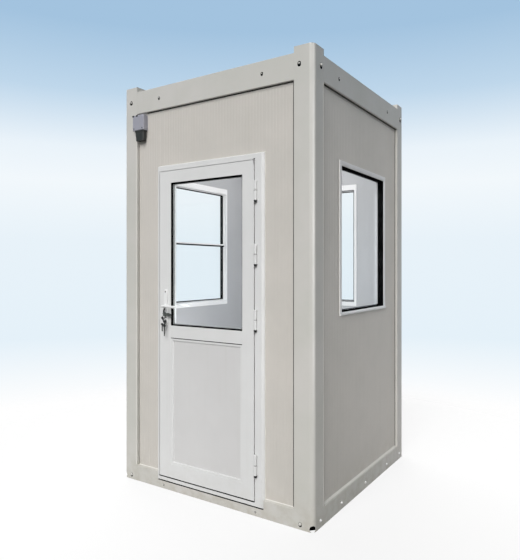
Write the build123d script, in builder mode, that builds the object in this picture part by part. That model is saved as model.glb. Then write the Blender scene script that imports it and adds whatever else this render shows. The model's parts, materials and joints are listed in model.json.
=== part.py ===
from build123d import *
import os

# Security guard booth: a steel-framed cabin of sandwich panels with a hinged,
# half-glazed door in the front and a window in each of the other three walls.
# Millimetres. +Z is up, +X is to the right seen from the door, +Y runs from the
# door to the rear wall. The origin is on the ground, in the middle of the plan.

# ---------------------------------------------------------------- driving sizes
booth_width = 1430
booth_depth = 1430
booth_height = 2600

# corner posts: folded steel angle boxes with a rounded outer corner
post_face = 120
post_wall = 4
post_round = 30
post_cap = 6
drain_radius = 18
drain_height = 16

# sandwich wall panels, set back behind the posts and rails
panel_recess = 18
panel_thickness = 60
reveal_width = 4
reveal_depth = 6

# rails of the top and base frames
rail_wall = 3
rail_drop = 34
top_rail_height = 144
base_rail_height = 100
lip_depth = 17
top_lip_height = 7
base_lip_height = 5
top_seat = 3
base_seat = 8

# floor and roof
joist_width = 60
joist_height = 40
joist_count = 3
joist_spacing = 400
floor_thickness = 60
roof_thickness = 60
roof_inset = 5
rib_height = 32
rib_top = 30
rib_base = 70
rib_spacing = 260
edge_gap = 1

# door opening and frame, measured from the middle of the front
frame_left = -407
frame_right = 399
frame_bottom = 50
frame_top = 2057
frame_proud = 2
frame_lip_left = 7
frame_lip_right = 57
frame_lip_top = 32
frame_lip_bottom = 28.5
frame_grip_left = 4
frame_grip_right = 20
frame_grip_top = 12
stop_left = 8
stop_right = 10
stop_top = 8
stop_bottom = 16.5
trim_thickness = 6
door_trim_cover = 20

# door leaf
swing_gap = 5
lock_side_gap = 7.5
leaf_proud = 2
leaf_thickness = 50
glass_left_stile = 99
glass_right_stile = 81
leaf_top_rail = 79
leaf_middle_rail = 79
leaf_bottom_rail = 86.5
door_glass_bottom = 1042
rebate_depth = 18
bead_width = 10
gasket_width = 5
gasket_recess = 2
door_glass_thickness = 6
panel_face_recess = 8
door_panel_thickness = 32

# hinges
hinge_radius = 8.5
hinge_pin_radius = 4
hinge_axis_x = 352
hinge_running_gap = 0.08
hinge_face_gap = 1
knuckle_height = 57
knuckle_gap = 1
hinge_heights = (290, 1110, 1481, 1842)
hinge_plate_thickness = 3
frame_plate_reach = 10
leaf_plate_reach = 20

# lock, handle and keys
lock_x = -333
handle_height = 1163
cylinder_height = 1105
plate_width = 30
plate_bottom = 1038
plate_top = 1270
plate_thickness = 8
neck_radius = 9
neck_gap = 0.1
neck_length = 32
lever_length = 128
lever_depth = 12
lever_height = 20
spindle_size = 8
spindle_hole_radius = 7
cylinder_radius = 8.5
cylinder_web = 10
cylinder_drop = 16
cylinder_fit = 0.1
cylinder_proud = 4
key_thickness = 2.4
key_width = 8
key_stub = 9
bow_radius = 11
bow_hole_radius = 3
ring_radius = 16
ring_wire = 1.2
hanging_key_length = 66

# windows, the same in the right, left and rear walls
window_width = 744
right_window_shift = 12
left_window_shift = 25
rear_window_shift = -14
window_bottom = 1113
window_top = 2037
window_trim = 30
window_grip = 20
window_trim_proud = 5
window_lining = 22
window_lining_width = 5
window_glass_thickness = 6
window_bead = 10
window_bead_depth = 14
inner_trim_side = -8
inner_trim_end = 14
sill_height = 18
sill_depth = 5
transom_height = 1590
transom_size = 18

# power inlet under the top rail
inlet_offset = 32
inlet_width = 98
inlet_height = 100
inlet_depth = 26
inlet_drop = 17
inlet_round = 5
inlet_back_margin = 2
socket_shift = 7
socket_forward = 3.5
socket_width = 72
socket_depth = 36
socket_tip_width = 64
socket_tip_depth = 32
socket_height = 67

# ---------------------------------------------------------------- derived sizes
half_width = booth_width / 2
half_depth = booth_depth / 2
wall_inner = panel_recess + panel_thickness
rail_top = booth_height - rail_drop
top_rail_bottom = rail_top - top_rail_height
panel_top = top_rail_bottom + top_seat
panel_bottom = base_rail_height - base_seat
floor_top = joist_height + floor_thickness
ceiling = panel_top + rail_wall

leaf_left = frame_left + frame_lip_left + lock_side_gap
leaf_right = frame_right - frame_lip_right - swing_gap
leaf_top = frame_top - frame_lip_top - swing_gap
leaf_bottom = frame_bottom + frame_lip_bottom + swing_gap
leaf_face = frame_proud + leaf_proud
leaf_back = leaf_face - leaf_thickness
glass_left = leaf_left + glass_left_stile
glass_right = leaf_right - glass_right_stile
glass_top = leaf_top - leaf_top_rail
door_panel_top = door_glass_bottom - leaf_middle_rail
door_panel_bottom = leaf_bottom + leaf_bottom_rail
stop_face = leaf_back - swing_gap

os.makedirs("parts", exist_ok=True)


def save(piece, label):
    piece.part.label = label
    export_step(piece.part, f"parts/{label}.step")


class Side:
    """One side of the booth: its outer plane, seen from outside, and its length."""

    def __init__(self, name, origin, along, outward, length, window_shift=0):
        self.name = name
        self.window_shift = window_shift
        self.length = length
        self.origin = origin
        self.along = along
        self.outward = outward

    def face(self, depth):
        """The wall plane that lies depth millimetres in front of the posts' faces."""
        plane = Plane(origin=self.origin, x_dir=self.along, z_dir=self.outward)
        return plane.offset(depth)

    def window_face(self, depth):
        """The same plane, centred on the side's window."""
        centre = Vector(*self.origin) + Vector(*self.along) * self.window_shift
        return Plane(origin=centre, x_dir=self.along, z_dir=self.outward).offset(depth)

    def section(self):
        """The plane across the side: x runs inward from the posts' faces, y is up."""
        inward = Vector(*self.outward) * -1
        return Plane(origin=self.origin, x_dir=inward, z_dir=self.along)


front = Side("front", (0, -half_depth, 0), (1, 0, 0), (0, -1, 0), booth_width)
rear = Side("rear", (0, half_depth, 0), (-1, 0, 0), (0, 1, 0), booth_width, rear_window_shift)
right = Side("right", (half_width, 0, 0), (0, 1, 0), (1, 0, 0), booth_depth, right_window_shift)
left = Side("left", (-half_width, 0, 0), (0, -1, 0), (-1, 0, 0), booth_depth, left_window_shift)
sides = (front, rear, right, left)


def box_between(x_range, y_range, mode=Mode.ADD):
    """A rectangle in the current sketch, from its edges."""
    width = x_range[1] - x_range[0]
    height = y_range[1] - y_range[0]
    with Locations((x_range[0] + width / 2, y_range[0] + height / 2)):
        Rectangle(width, height, mode=mode)


# ---------------------------------------------------------------- corner posts
def make_post(x_sign, y_sign):
    plan_points = [
        (0, 0),
        (post_face, 0),
        (post_face, wall_inner),
        (wall_inner, wall_inner),
        (wall_inner, post_face),
        (0, post_face),
    ]
    corner_x = x_sign * half_width
    corner_y = y_sign * half_depth
    outline = [(corner_x - x_sign * x, corner_y - y_sign * y) for x, y in plan_points]
    with BuildPart() as post:
        with BuildSketch() as plan:
            with BuildLine():
                Polyline(*outline, close=True)
            make_face()
            outer_corner = plan.vertices().sort_by_distance((corner_x, corner_y, 0))[0]
            fillet(outer_corner, radius=post_round)
        extrude(amount=booth_height)
        with BuildSketch():
            offset(plan.sketch, amount=-post_wall, kind=Kind.INTERSECTION)
        extrude(amount=booth_height - post_cap, mode=Mode.SUBTRACT)
        # drain hole drilled diagonally through the foot of the rounded corner
        drain = Plane(
            origin=(corner_x, corner_y, drain_height),
            z_dir=(-x_sign, -y_sign, 0),
        )
        with BuildSketch(drain):
            Circle(drain_radius)
        extrude(amount=2 * post_round, mode=Mode.SUBTRACT)
    return post


for end_name, y_sign in (("front", -1), ("rear", 1)):
    for side_name, x_sign in (("left", -1), ("right", 1)):
        save(make_post(x_sign, y_sign), f"post_{end_name}_{side_name}")


# ---------------------------------------------------------------- rails
def make_top_rail(side):
    length = side.length - 2 * post_face
    with BuildPart() as rail:
        with BuildSketch(side.section()):
            with BuildLine():
                Polyline(
                    (0, rail_top),
                    (0, top_rail_bottom),
                    (lip_depth, top_rail_bottom - top_lip_height),
                    (panel_recess, top_rail_bottom - top_lip_height),
                    (panel_recess, panel_top),
                    (wall_inner, panel_top),
                    (wall_inner, rail_top),
                    close=True,
                )
            make_face()
            box_between((rail_wall, wall_inner), (ceiling, rail_top - rail_wall), Mode.SUBTRACT)
        extrude(amount=length / 2, both=True)
    return rail


def make_base_rail(side):
    length = side.length - 2 * post_face
    lip_top = base_rail_height + base_lip_height
    with BuildPart() as rail:
        with BuildSketch(side.section()):
            with BuildLine():
                Polyline(
                    (0, 0),
                    (0, base_rail_height),
                    (lip_depth, lip_top),
                    (panel_recess, lip_top),
                    (panel_recess, panel_bottom),
                    (wall_inner, panel_bottom),
                    (wall_inner, 0),
                    close=True,
                )
            make_face()
            box_between((rail_wall, wall_inner), (rail_wall, panel_bottom - rail_wall), Mode.SUBTRACT)
        extrude(amount=length / 2, both=True)
        if side is front:
            # the door frame stands in a notch down to its threshold
            with BuildSketch(front.face(0)):
                box_between((frame_left, frame_right), (frame_bottom, lip_top))
            extrude(amount=-wall_inner, mode=Mode.SUBTRACT)
    return rail


for side in sides:
    save(make_top_rail(side), f"top_rail_{side.name}")
    save(make_base_rail(side), f"base_rail_{side.name}")


# ---------------------------------------------------------------- wall panels
def make_wall(side, x_range, z_range, reveals, hole=None):
    """A wall panel with a narrow vertical reveal at each listed edge."""
    with BuildPart() as wall:
        with BuildSketch(side.face(-panel_recess)):
            box_between(x_range, z_range)
            if hole:
                box_between(hole[0], hole[1], Mode.SUBTRACT)
        extrude(amount=-panel_thickness)
        for x in reveals:
            inner_x = x + reveal_width if x < 0 else x - reveal_width
            with BuildSketch(side.face(-panel_recess)):
                box_between(sorted((x, inner_x)), z_range)
            extrude(amount=-reveal_depth, mode=Mode.SUBTRACT)
    return wall


front_edge = half_width - post_face
side_edge = half_depth - post_face
wall_height = (panel_bottom, panel_top)
opening_left = frame_left + frame_grip_left
opening_right = frame_right - frame_grip_right
opening_top = frame_top - frame_grip_top

wall_left = make_wall(front, (-front_edge, opening_left), wall_height, (-front_edge,))
save(wall_left, "front_wall_left")
wall_right = make_wall(front, (opening_right, front_edge), wall_height, (front_edge,))
save(wall_right, "front_wall_right")
wall_head = make_wall(front, (opening_left, opening_right), (opening_top, panel_top), ())
save(wall_head, "front_wall_head")

hole_half = window_width / 2 - window_grip
hole_z = (window_bottom + window_grip, window_top - window_grip)
for side, edge in ((right, side_edge), (left, side_edge), (rear, front_edge)):
    hole_x = (side.window_shift - hole_half, side.window_shift + hole_half)
    wall = make_wall(side, (-edge, edge), wall_height, (-edge, edge), (hole_x, hole_z))
    save(wall, f"{side.name}_wall")

# ---------------------------------------------------------------- floor and roof
room_half_width = half_width - wall_inner
room_half_depth = half_depth - wall_inner

with BuildPart() as floor_joists:
    with BuildSketch(Plane.XZ.offset(-room_half_depth)):
        with Locations((0, joist_height / 2)):
            with GridLocations(joist_spacing, 1, joist_count, 1):
                Rectangle(joist_width, joist_height)
                Rectangle(joist_width - 2 * rail_wall, joist_height - 2 * rail_wall, mode=Mode.SUBTRACT)
    extrude(amount=2 * room_half_depth)
save(floor_joists, "floor_joists")

with BuildPart() as floor_panel:
    with BuildSketch(Plane.XY.offset(joist_height)):
        Rectangle(2 * (room_half_width - edge_gap), 2 * (room_half_depth - edge_gap))
    extrude(amount=floor_thickness)
save(floor_panel, "floor_panel")

with BuildPart() as roof_panel:
    with BuildSketch(Plane.XY.offset(ceiling)):
        Rectangle(booth_width - 2 * roof_inset, booth_depth - 2 * roof_inset)
        with GridLocations(booth_width, booth_depth, 2, 2):
            # notches that clear both legs of the angle-shaped posts
            Rectangle(2 * (post_face + edge_gap), 2 * (wall_inner + edge_gap), mode=Mode.SUBTRACT)
            Rectangle(2 * (wall_inner + edge_gap), 2 * (post_face + edge_gap), mode=Mode.SUBTRACT)
    extrude(amount=roof_thickness)
    rib_run = booth_depth - 2 * (post_face + edge_gap)
    rib_count = int((booth_width - 2 * post_face - rib_base) / rib_spacing) + 1
    roof_top = ceiling + roof_thickness
    for i in range(rib_count):
        rib_x = (i - (rib_count - 1) / 2) * rib_spacing
        with BuildSketch(Plane.XZ.offset(-rib_run / 2)):
            with BuildLine():
                Polyline(
                    (rib_x - rib_base / 2, roof_top),
                    (rib_x - rib_top / 2, roof_top + rib_height),
                    (rib_x + rib_top / 2, roof_top + rib_height),
                    (rib_x + rib_base / 2, roof_top),
                    close=True,
                )
            make_face()
        extrude(amount=rib_run)
save(roof_panel, "roof_panel")

# ---------------------------------------------------------------- door frame
# Layers of the frame's section: depth range, outer edges and inner edges.
opening_x = (frame_left + frame_lip_left, frame_right - frame_lip_right)
opening_z = (frame_bottom + frame_lip_bottom, frame_top - frame_lip_top)
stop_x = (leaf_left + stop_left, leaf_right - stop_right)
stop_z = (leaf_bottom + stop_bottom, leaf_top - stop_top)
grip_x = (opening_left, opening_right)
grip_z = (frame_bottom, opening_top)
cover_x = (opening_left - door_trim_cover, opening_right + door_trim_cover)
cover_z = (floor_top, opening_top + door_trim_cover)
frame_layers = (
    (frame_proud, -panel_recess, (frame_left, frame_right), (frame_bottom, frame_top), opening_x, opening_z),
    (-panel_recess, stop_face, grip_x, grip_z, opening_x, opening_z),
    (stop_face, -wall_inner, grip_x, grip_z, stop_x, stop_z),
    (-wall_inner, -wall_inner - trim_thickness, cover_x, cover_z, stop_x, stop_z),
)
split_height = (frame_bottom + frame_top) / 2


def make_frame_member(zone_x, zone_z):
    with BuildPart() as member:
        for outer_depth, inner_depth, outer_x, outer_z, inner_x, inner_z in frame_layers:
            with BuildSketch(front.face(outer_depth)) as layer:
                box_between(outer_x, outer_z)
                box_between(inner_x, inner_z, Mode.SUBTRACT)
                box_between(zone_x, zone_z, Mode.INTERSECT)
            if layer.sketch.area > 0:
                extrude(amount=inner_depth - outer_depth)
    return member


beyond = 2 * booth_height
save(make_frame_member((-beyond, stop_x[0]), (-beyond, beyond)), "door_frame_lock_jamb")
save(make_frame_member((stop_x[1], beyond), (-beyond, beyond)), "door_frame_hinge_jamb")
save(make_frame_member(stop_x, (split_height, beyond)), "door_frame_head")
save(make_frame_member(stop_x, (-beyond, split_height)), "door_frame_threshold")


# ---------------------------------------------------------------- windows
def ring(outer_half, outer_z, rim, mode=Mode.ADD):
    """A rectangular ring in the current sketch, rim wide, inside the given edges."""
    box_between((-outer_half, outer_half), outer_z, mode)
    inner_z = (outer_z[0] + rim, outer_z[1] - rim)
    box_between((rim - outer_half, outer_half - rim), inner_z, Mode.SUBTRACT)


sight_half = window_width / 2 - window_trim
sight_z = (window_bottom + window_trim, window_top - window_trim)
trim_face = window_trim_proud - panel_recess
lining_back = -panel_recess - window_lining
glass_back = lining_back - window_glass_thickness


def make_window_frame(side):
    casing = window_trim - window_grip
    cover_half = window_width / 2 + inner_trim_side
    cover_z = (window_bottom - inner_trim_end, window_top + inner_trim_end)
    with BuildPart() as window_frame:
        with BuildSketch(side.window_face(trim_face)):
            ring(window_width / 2, (window_bottom, window_top), window_trim)
        extrude(amount=-window_trim_proud)
        with BuildSketch(side.window_face(-panel_recess)):
            ring(hole_half, hole_z, casing)
        extrude(amount=panel_recess - wall_inner)
        with BuildSketch(side.window_face(glass_back)):
            ring(hole_half, hole_z, casing + window_bead)
        extrude(amount=-window_bead_depth)
        with BuildSketch(side.window_face(-wall_inner)):
            box_between((-cover_half, cover_half), cover_z)
            box_between((-sight_half, sight_half), sight_z, Mode.SUBTRACT)
        extrude(amount=-trim_thickness)
        # projecting sill along the foot of the outer trim
        with BuildSketch(side.window_face(trim_face)):
            box_between((-window_width / 2, window_width / 2), (window_bottom, window_bottom + sill_height))
        extrude(amount=sill_depth)
    return window_frame


def make_window_glass(side):
    with BuildPart() as pane:
        with BuildSketch(side.window_face(lining_back)):
            box_between((-sight_half, sight_half), sight_z)
        extrude(amount=-window_glass_thickness)
    return pane


for side in (right, left, rear):
    save(make_window_frame(side), f"{side.name}_window_frame")
    save(make_window_glass(side), f"{side.name}_window_glass")

with BuildPart() as window_gaskets:
    for side in (right, left, rear):
        with BuildSketch(side.window_face(-panel_recess)):
            ring(sight_half, sight_z, window_lining_width)
        extrude(amount=-window_lining)
save(window_gaskets, "window_gaskets")

with BuildPart() as left_window_transom:
    with BuildSketch(left.window_face(glass_back)):
        box_between(
            (window_bead - sight_half, sight_half - window_bead),
            (transom_height - transom_size / 2, transom_height + transom_size / 2),
        )
    extrude(amount=-window_bead_depth)
save(left_window_transom, "left_window_transom")


# ---------------------------------------------------------------- door leaf
def lock_profile(extra, mode=Mode.ADD):
    """The keyhole outline of the lock cylinder, extra wider all round."""
    with Locations((lock_x, cylinder_height)):
        Circle(cylinder_radius + extra, mode=mode)
    foot = cylinder_height - cylinder_drop - extra
    half_web = cylinder_web / 2 + extra
    box_between((lock_x - half_web, lock_x + half_web), (foot, cylinder_height), mode)


glass_opening = ((glass_left, glass_right), (door_glass_bottom, glass_top))
panel_opening = ((glass_left, glass_right), (door_panel_bottom, door_panel_top))


def inset(edges, amount):
    """Edges of an opening moved inward by amount."""
    return (
        (edges[0][0] + amount, edges[0][1] - amount),
        (edges[1][0] + amount, edges[1][1] - amount),
    )


rebate_face = leaf_face - rebate_depth

with BuildPart() as door_leaf_frame:
    with BuildSketch(front.face(leaf_face)):
        box_between((leaf_left, leaf_right), (leaf_bottom, leaf_top))
        box_between(*glass_opening, Mode.SUBTRACT)
        box_between(*panel_opening, Mode.SUBTRACT)
    extrude(amount=-rebate_depth)
    with BuildSketch(front.face(rebate_face)):
        box_between((leaf_left, leaf_right), (leaf_bottom, leaf_top))
        box_between(*inset(glass_opening, bead_width), Mode.SUBTRACT)
        box_between(*inset(panel_opening, bead_width), Mode.SUBTRACT)
    extrude(amount=rebate_depth - leaf_thickness)
    with BuildSketch(front.face(leaf_face)):
        lock_profile(cylinder_fit)
        with Locations((lock_x, handle_height)):
            Circle(spindle_hole_radius)
    extrude(amount=-leaf_thickness, mode=Mode.SUBTRACT)
save(door_leaf_frame, "door_leaf_frame")

with BuildPart() as door_lower_panel:
    with BuildSketch(front.face(leaf_face - panel_face_recess)):
        box_between(*panel_opening)
    extrude(amount=panel_face_recess - rebate_depth)
    with BuildSketch(front.face(rebate_face)):
        box_between(*inset(panel_opening, bead_width))
    extrude(amount=rebate_depth - panel_face_recess - door_panel_thickness)
save(door_lower_panel, "door_lower_panel")

with BuildPart() as door_glass:
    with BuildSketch(front.face(rebate_face + door_glass_thickness)):
        box_between(*glass_opening)
    extrude(amount=-door_glass_thickness)
save(door_glass, "door_glass")

with BuildPart() as door_glass_gasket:
    with BuildSketch(front.face(leaf_face - gasket_recess)):
        box_between(*glass_opening)
        box_between(*inset(glass_opening, gasket_width), Mode.SUBTRACT)
    extrude(amount=gasket_recess + door_glass_thickness - rebate_depth)
save(door_glass_gasket, "door_glass_gasket")

# ---------------------------------------------------------------- hinges
hinge_axis_depth = leaf_face - leaf_proud + hinge_face_gap + hinge_radius
hinge_y = -half_depth - hinge_axis_depth
pin_overlap = knuckle_height - 2


# lower knuckles, fixed to the frame, each with the pin standing in it
with BuildPart() as hinge_frame_knuckles:
    for height in hinge_heights:
        foot = height - knuckle_height
        with BuildSketch(front.face(frame_proud)):
            box_between((hinge_axis_x, hinge_axis_x + frame_plate_reach), (foot, height))
        extrude(amount=hinge_plate_thickness)
        with BuildSketch(Plane.XY.offset(foot)):
            with Locations((hinge_axis_x, hinge_y)):
                Circle(hinge_radius)
        extrude(amount=knuckle_height)
        with BuildSketch(Plane.XY.offset(height)):
            with Locations((hinge_axis_x, hinge_y)):
                Circle(hinge_pin_radius)
        extrude(amount=knuckle_gap + pin_overlap)
save(hinge_frame_knuckles, "hinge_frame_knuckles")

# upper knuckles, fixed to the leaf, turning on the pins
with BuildPart() as hinge_leaf_knuckles:
    for height in hinge_heights:
        foot = height + knuckle_gap
        with BuildSketch(front.face(leaf_face)):
            box_between((hinge_axis_x - leaf_plate_reach, hinge_axis_x), (foot, foot + knuckle_height))
        extrude(amount=hinge_plate_thickness)
        with BuildSketch(Plane.XY.offset(foot)):
            with Locations((hinge_axis_x, hinge_y)):
                Circle(hinge_radius)
        extrude(amount=knuckle_height)
        with BuildSketch(Plane.XY.offset(foot)):
            with Locations((hinge_axis_x, hinge_y)):
                Circle(hinge_pin_radius + hinge_running_gap)
        extrude(amount=pin_overlap, mode=Mode.SUBTRACT)
save(hinge_leaf_knuckles, "hinge_leaf_knuckles")

# ---------------------------------------------------------------- lock and handle
# a cover plate on each face of the leaf, bored for the lever's neck and the lock
with BuildPart() as lock_plates:
    for plate_face in (leaf_face + plate_thickness, leaf_back):
        with BuildSketch(front.face(plate_face)):
            box_between((lock_x - plate_width / 2, lock_x + plate_width / 2), (plate_bottom, plate_top))
            with Locations((lock_x, handle_height)):
                Circle(neck_radius + neck_gap, mode=Mode.SUBTRACT)
            lock_profile(cylinder_fit, Mode.SUBTRACT)
        extrude(amount=-plate_thickness)
save(lock_plates, "lock_plates")

with BuildPart() as lock_cylinder:
    cylinder_face = leaf_face + plate_thickness + cylinder_proud
    cylinder_back = leaf_back - plate_thickness - cylinder_proud
    with BuildSketch(front.face(cylinder_face)):
        lock_profile(0)
    extrude(amount=cylinder_back - cylinder_face)
save(lock_cylinder, "lock_cylinder")


def make_lever(plate_face, outward):
    """A lever on its neck: plate_face is where the neck leaves the cover plate."""
    with BuildPart() as lever:
        with BuildSketch(front.face(plate_face)):
            with Locations((lock_x, handle_height)):
                Circle(neck_radius)
        extrude(amount=outward * (plate_thickness + neck_length))
        with BuildSketch(front.face(plate_face + outward * (plate_thickness + neck_length))):
            with Locations((lock_x - lever_height / 2, handle_height)):
                SlotOverall(lever_length, lever_height, align=(Align.MIN, Align.CENTER))
        extrude(amount=outward * lever_depth)
        if outward > 0:
            with BuildSketch(front.face(leaf_face)):
                with Locations((lock_x, handle_height)):
                    Rectangle(spindle_size, spindle_size)
            extrude(amount=-leaf_thickness)
    return lever


save(make_lever(leaf_face, 1), "outer_lever")
save(make_lever(leaf_back, -1), "inner_lever")

# a key in the lock, and two more on its ring
key_y = -half_depth - cylinder_face
bow_y = key_y - key_stub - bow_radius
ring_z = cylinder_height - bow_radius + bow_hole_radius - ring_radius
key_plane = Plane(origin=(lock_x - key_thickness / 2, 0, 0), x_dir=(0, 1, 0), z_dir=(1, 0, 0))
with BuildPart() as lock_keys:
    with BuildSketch(key_plane):
        with Locations((key_y - key_stub / 2 - 1, cylinder_height)):
            Rectangle(key_stub + 2, key_width)
        with Locations((bow_y, cylinder_height)):
            Circle(bow_radius)
    extrude(amount=key_thickness)
    with BuildSketch(Plane.XZ.offset(-bow_y)):
        with Locations((lock_x, ring_z)):
            Circle(ring_radius)
            Circle(ring_radius - 2 * ring_wire, mode=Mode.SUBTRACT)
    extrude(amount=ring_wire, both=True)
    hanging_z = ring_z - ring_radius - bow_radius + 2 * bow_hole_radius
    for turn in (-9, 12):
        hang = Plane.XZ.offset(-bow_y)
        with BuildSketch(hang):
            with Locations(Location((lock_x, ring_z - ring_radius + bow_hole_radius, 0), (0, 0, turn))):
                with Locations((0, bow_hole_radius - bow_radius)):
                    Circle(bow_radius)
                with Locations((0, -bow_radius - hanging_key_length / 2)):
                    Rectangle(key_width, hanging_key_length)
        extrude(amount=key_thickness / 2, both=True)
save(lock_keys, "lock_keys")

# ---------------------------------------------------------------- power inlet
inlet_centre_x = inlet_offset - front_edge
inlet_left = inlet_centre_x - inlet_width / 2
inlet_right = inlet_centre_x + inlet_width / 2
inlet_top = top_rail_bottom - inlet_drop
inlet_bottom = inlet_top - inlet_height

with BuildPart() as power_inlet_box:
    with BuildSketch(front.face(0)):
        box_between((inlet_left, inlet_right), (inlet_bottom, inlet_top))
    extrude(amount=inlet_depth)
    outer_edges = power_inlet_box.edges().group_by(Axis.Y)[0]
    fillet(outer_edges, radius=inlet_round)
    # packing block behind the box, down onto the set-back wall panel
    with BuildSketch(front.face(0)):
        box_between(
            (-front_edge, inlet_right - inlet_back_margin),
            (inlet_bottom, inlet_top - inlet_back_margin),
        )
    extrude(amount=-panel_recess)
save(power_inlet_box, "power_inlet_box")

with BuildPart() as power_inlet_socket:
    socket_place = (inlet_centre_x + socket_shift, -half_depth - socket_forward)
    with BuildSketch(Plane.XY.offset(inlet_bottom)):
        with Locations(socket_place):
            RectangleRounded(socket_width, socket_depth, inlet_round)
    with BuildSketch(Plane.XY.offset(inlet_bottom - socket_height)):
        with Locations(socket_place):
            RectangleRounded(socket_tip_width, socket_tip_depth, inlet_round)
    loft()
save(power_inlet_socket, "power_inlet_socket")
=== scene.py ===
import json
import math
import bmesh
import bpy
from mathutils import Matrix, Vector


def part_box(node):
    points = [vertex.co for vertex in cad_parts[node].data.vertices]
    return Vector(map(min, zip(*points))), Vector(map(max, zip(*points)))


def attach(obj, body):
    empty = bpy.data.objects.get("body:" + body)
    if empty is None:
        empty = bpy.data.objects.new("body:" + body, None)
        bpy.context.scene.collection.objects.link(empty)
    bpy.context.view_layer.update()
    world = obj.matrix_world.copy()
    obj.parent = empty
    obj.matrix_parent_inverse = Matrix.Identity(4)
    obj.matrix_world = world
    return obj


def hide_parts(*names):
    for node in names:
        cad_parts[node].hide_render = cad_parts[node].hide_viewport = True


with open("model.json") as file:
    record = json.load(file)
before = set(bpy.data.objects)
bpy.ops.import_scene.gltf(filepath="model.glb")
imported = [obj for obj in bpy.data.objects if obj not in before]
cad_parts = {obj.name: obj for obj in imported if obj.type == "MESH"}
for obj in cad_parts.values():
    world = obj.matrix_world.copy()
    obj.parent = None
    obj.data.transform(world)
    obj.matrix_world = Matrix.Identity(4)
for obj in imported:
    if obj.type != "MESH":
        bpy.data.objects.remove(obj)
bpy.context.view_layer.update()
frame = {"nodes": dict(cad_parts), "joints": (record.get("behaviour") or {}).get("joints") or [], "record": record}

nodes = frame["nodes"]
slotOf = {part["node"]: part["material_slot"] for part in frame["record"]["subparts"]}
scene = bpy.context.scene
print("frame loaded:", len(nodes), "nodes")


# ---- node helpers
def findSocket(sockets, name):
    return next(socket for socket in sockets if socket.name == name and socket.enabled)


def feed(tree, node, inputs):  # sockets are linked, other values set
    for key, value in inputs.items():
        socket = node.inputs[key] if isinstance(key, int) else findSocket(node.inputs, key)
        if isinstance(value, bpy.types.NodeSocket):
            tree.links.new(value, socket)
        else:
            socket.default_value = value


def addNode(tree, kind, inputs=None, **settings):
    node = tree.nodes.new(kind)
    for key, value in settings.items():
        setattr(node, key, value)
    feed(tree, node, inputs or {})
    return node


def mathNode(tree, operation, *values, clamp=False):
    inputs = dict(enumerate(values))
    return addNode(tree, "ShaderNodeMath", inputs, operation=operation, use_clamp=clamp).outputs[0]


def rampNode(tree, value, low, high):  # 0 below low, 1 above high, smooth between
    inputs = {"Value": value, "From Min": low, "From Max": high}
    return addNode(tree, "ShaderNodeMapRange", inputs, interpolation_type="SMOOTHSTEP").outputs[0]


def noiseNode(tree, place, scale, detail, roughness=0.5):
    inputs = {"Vector": place, "Scale": scale, "Detail": detail, "Roughness": roughness}
    return addNode(tree, "ShaderNodeTexNoise", inputs).outputs[0]


def cellNode(tree, place, scale):  # one tone per cell, and the distance to its middle
    cells = addNode(tree, "ShaderNodeTexVoronoi", {"Vector": place, "Scale": scale}).outputs
    return addNode(tree, "ShaderNodeSeparateColor", {0: cells["Color"]}).outputs[0], cells["Distance"]


def stretchNode(tree, place, scale):
    return addNode(tree, "ShaderNodeMapping", {"Vector": place, "Scale": scale}).outputs[0]


def bumpNode(tree, height, depth, strength=1.0):
    inputs = {"Height": height, "Distance": depth, "Strength": strength}
    return addNode(tree, "ShaderNodeBump", inputs).outputs[0]


def mixColour(tree, factor, first, second):
    node = addNode(tree, "ShaderNodeMix", {"Factor": factor, "A": first, "B": second}, data_type="RGBA")
    return findSocket(node.outputs, "Result")


def mixShader(tree, factor, first, second):
    return addNode(tree, "ShaderNodeMixShader", {0: factor, 1: first.outputs[0], 2: second.outputs[0]})


def seenNode(tree):  # 1 for what the camera sees, straight, in a reflection or through glass
    rays = addNode(tree, "ShaderNodeLightPath").outputs
    seen = mathNode(tree, "ADD", rays["Is Camera Ray"], rays["Is Glossy Ray"], clamp=True)
    return mathNode(tree, "ADD", seen, rays["Is Transmission Ray"], clamp=True)


def colour(red, green, blue):  # screen values 0 to 255 to a shader colour
    def straight(value):
        value = value / 255
        return value / 12.92 if value <= 0.04045 else ((value + 0.055) / 1.055) ** 2.4
    return (straight(red), straight(green), straight(blue), 1.0)


def newShaderGroup(name, inputs, outputs):
    tree = bpy.data.node_groups.new(name, "ShaderNodeTree")
    for label, default in inputs.items():
        socket = tree.interface.new_socket(label, in_out="INPUT", socket_type="NodeSocketFloat")
        socket.default_value = default
    for label in outputs:
        tree.interface.new_socket(label, in_out="OUTPUT", socket_type="NodeSocketFloat")
    return tree, tree.nodes.new("NodeGroupInput").outputs, tree.nodes.new("NodeGroupOutput")


def objectPlace(tree):
    return addNode(tree, "ShaderNodeTexCoord").outputs["Object"]


# ---- shared effects
def makePaintSkin():  # fine orange peel and slow changes of tone
    tree, given, out = newShaderGroup("paintSkin", {"Peel Size": 0.002, "Tone Size": 0.5}, ("Height", "Tone"))
    place = objectPlace(tree)
    fine, slow = [mathNode(tree, "DIVIDE", 1.0, given[name]) for name in ("Peel Size", "Tone Size")]
    tone = noiseNode(tree, place, slow, detail=4.0, roughness=0.6)
    feed(tree, out, {"Height": noiseNode(tree, place, fine, detail=2.0, roughness=0.45),
                     "Tone": rampNode(tree, tone, 0.3, 0.7)})
    return tree


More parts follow.
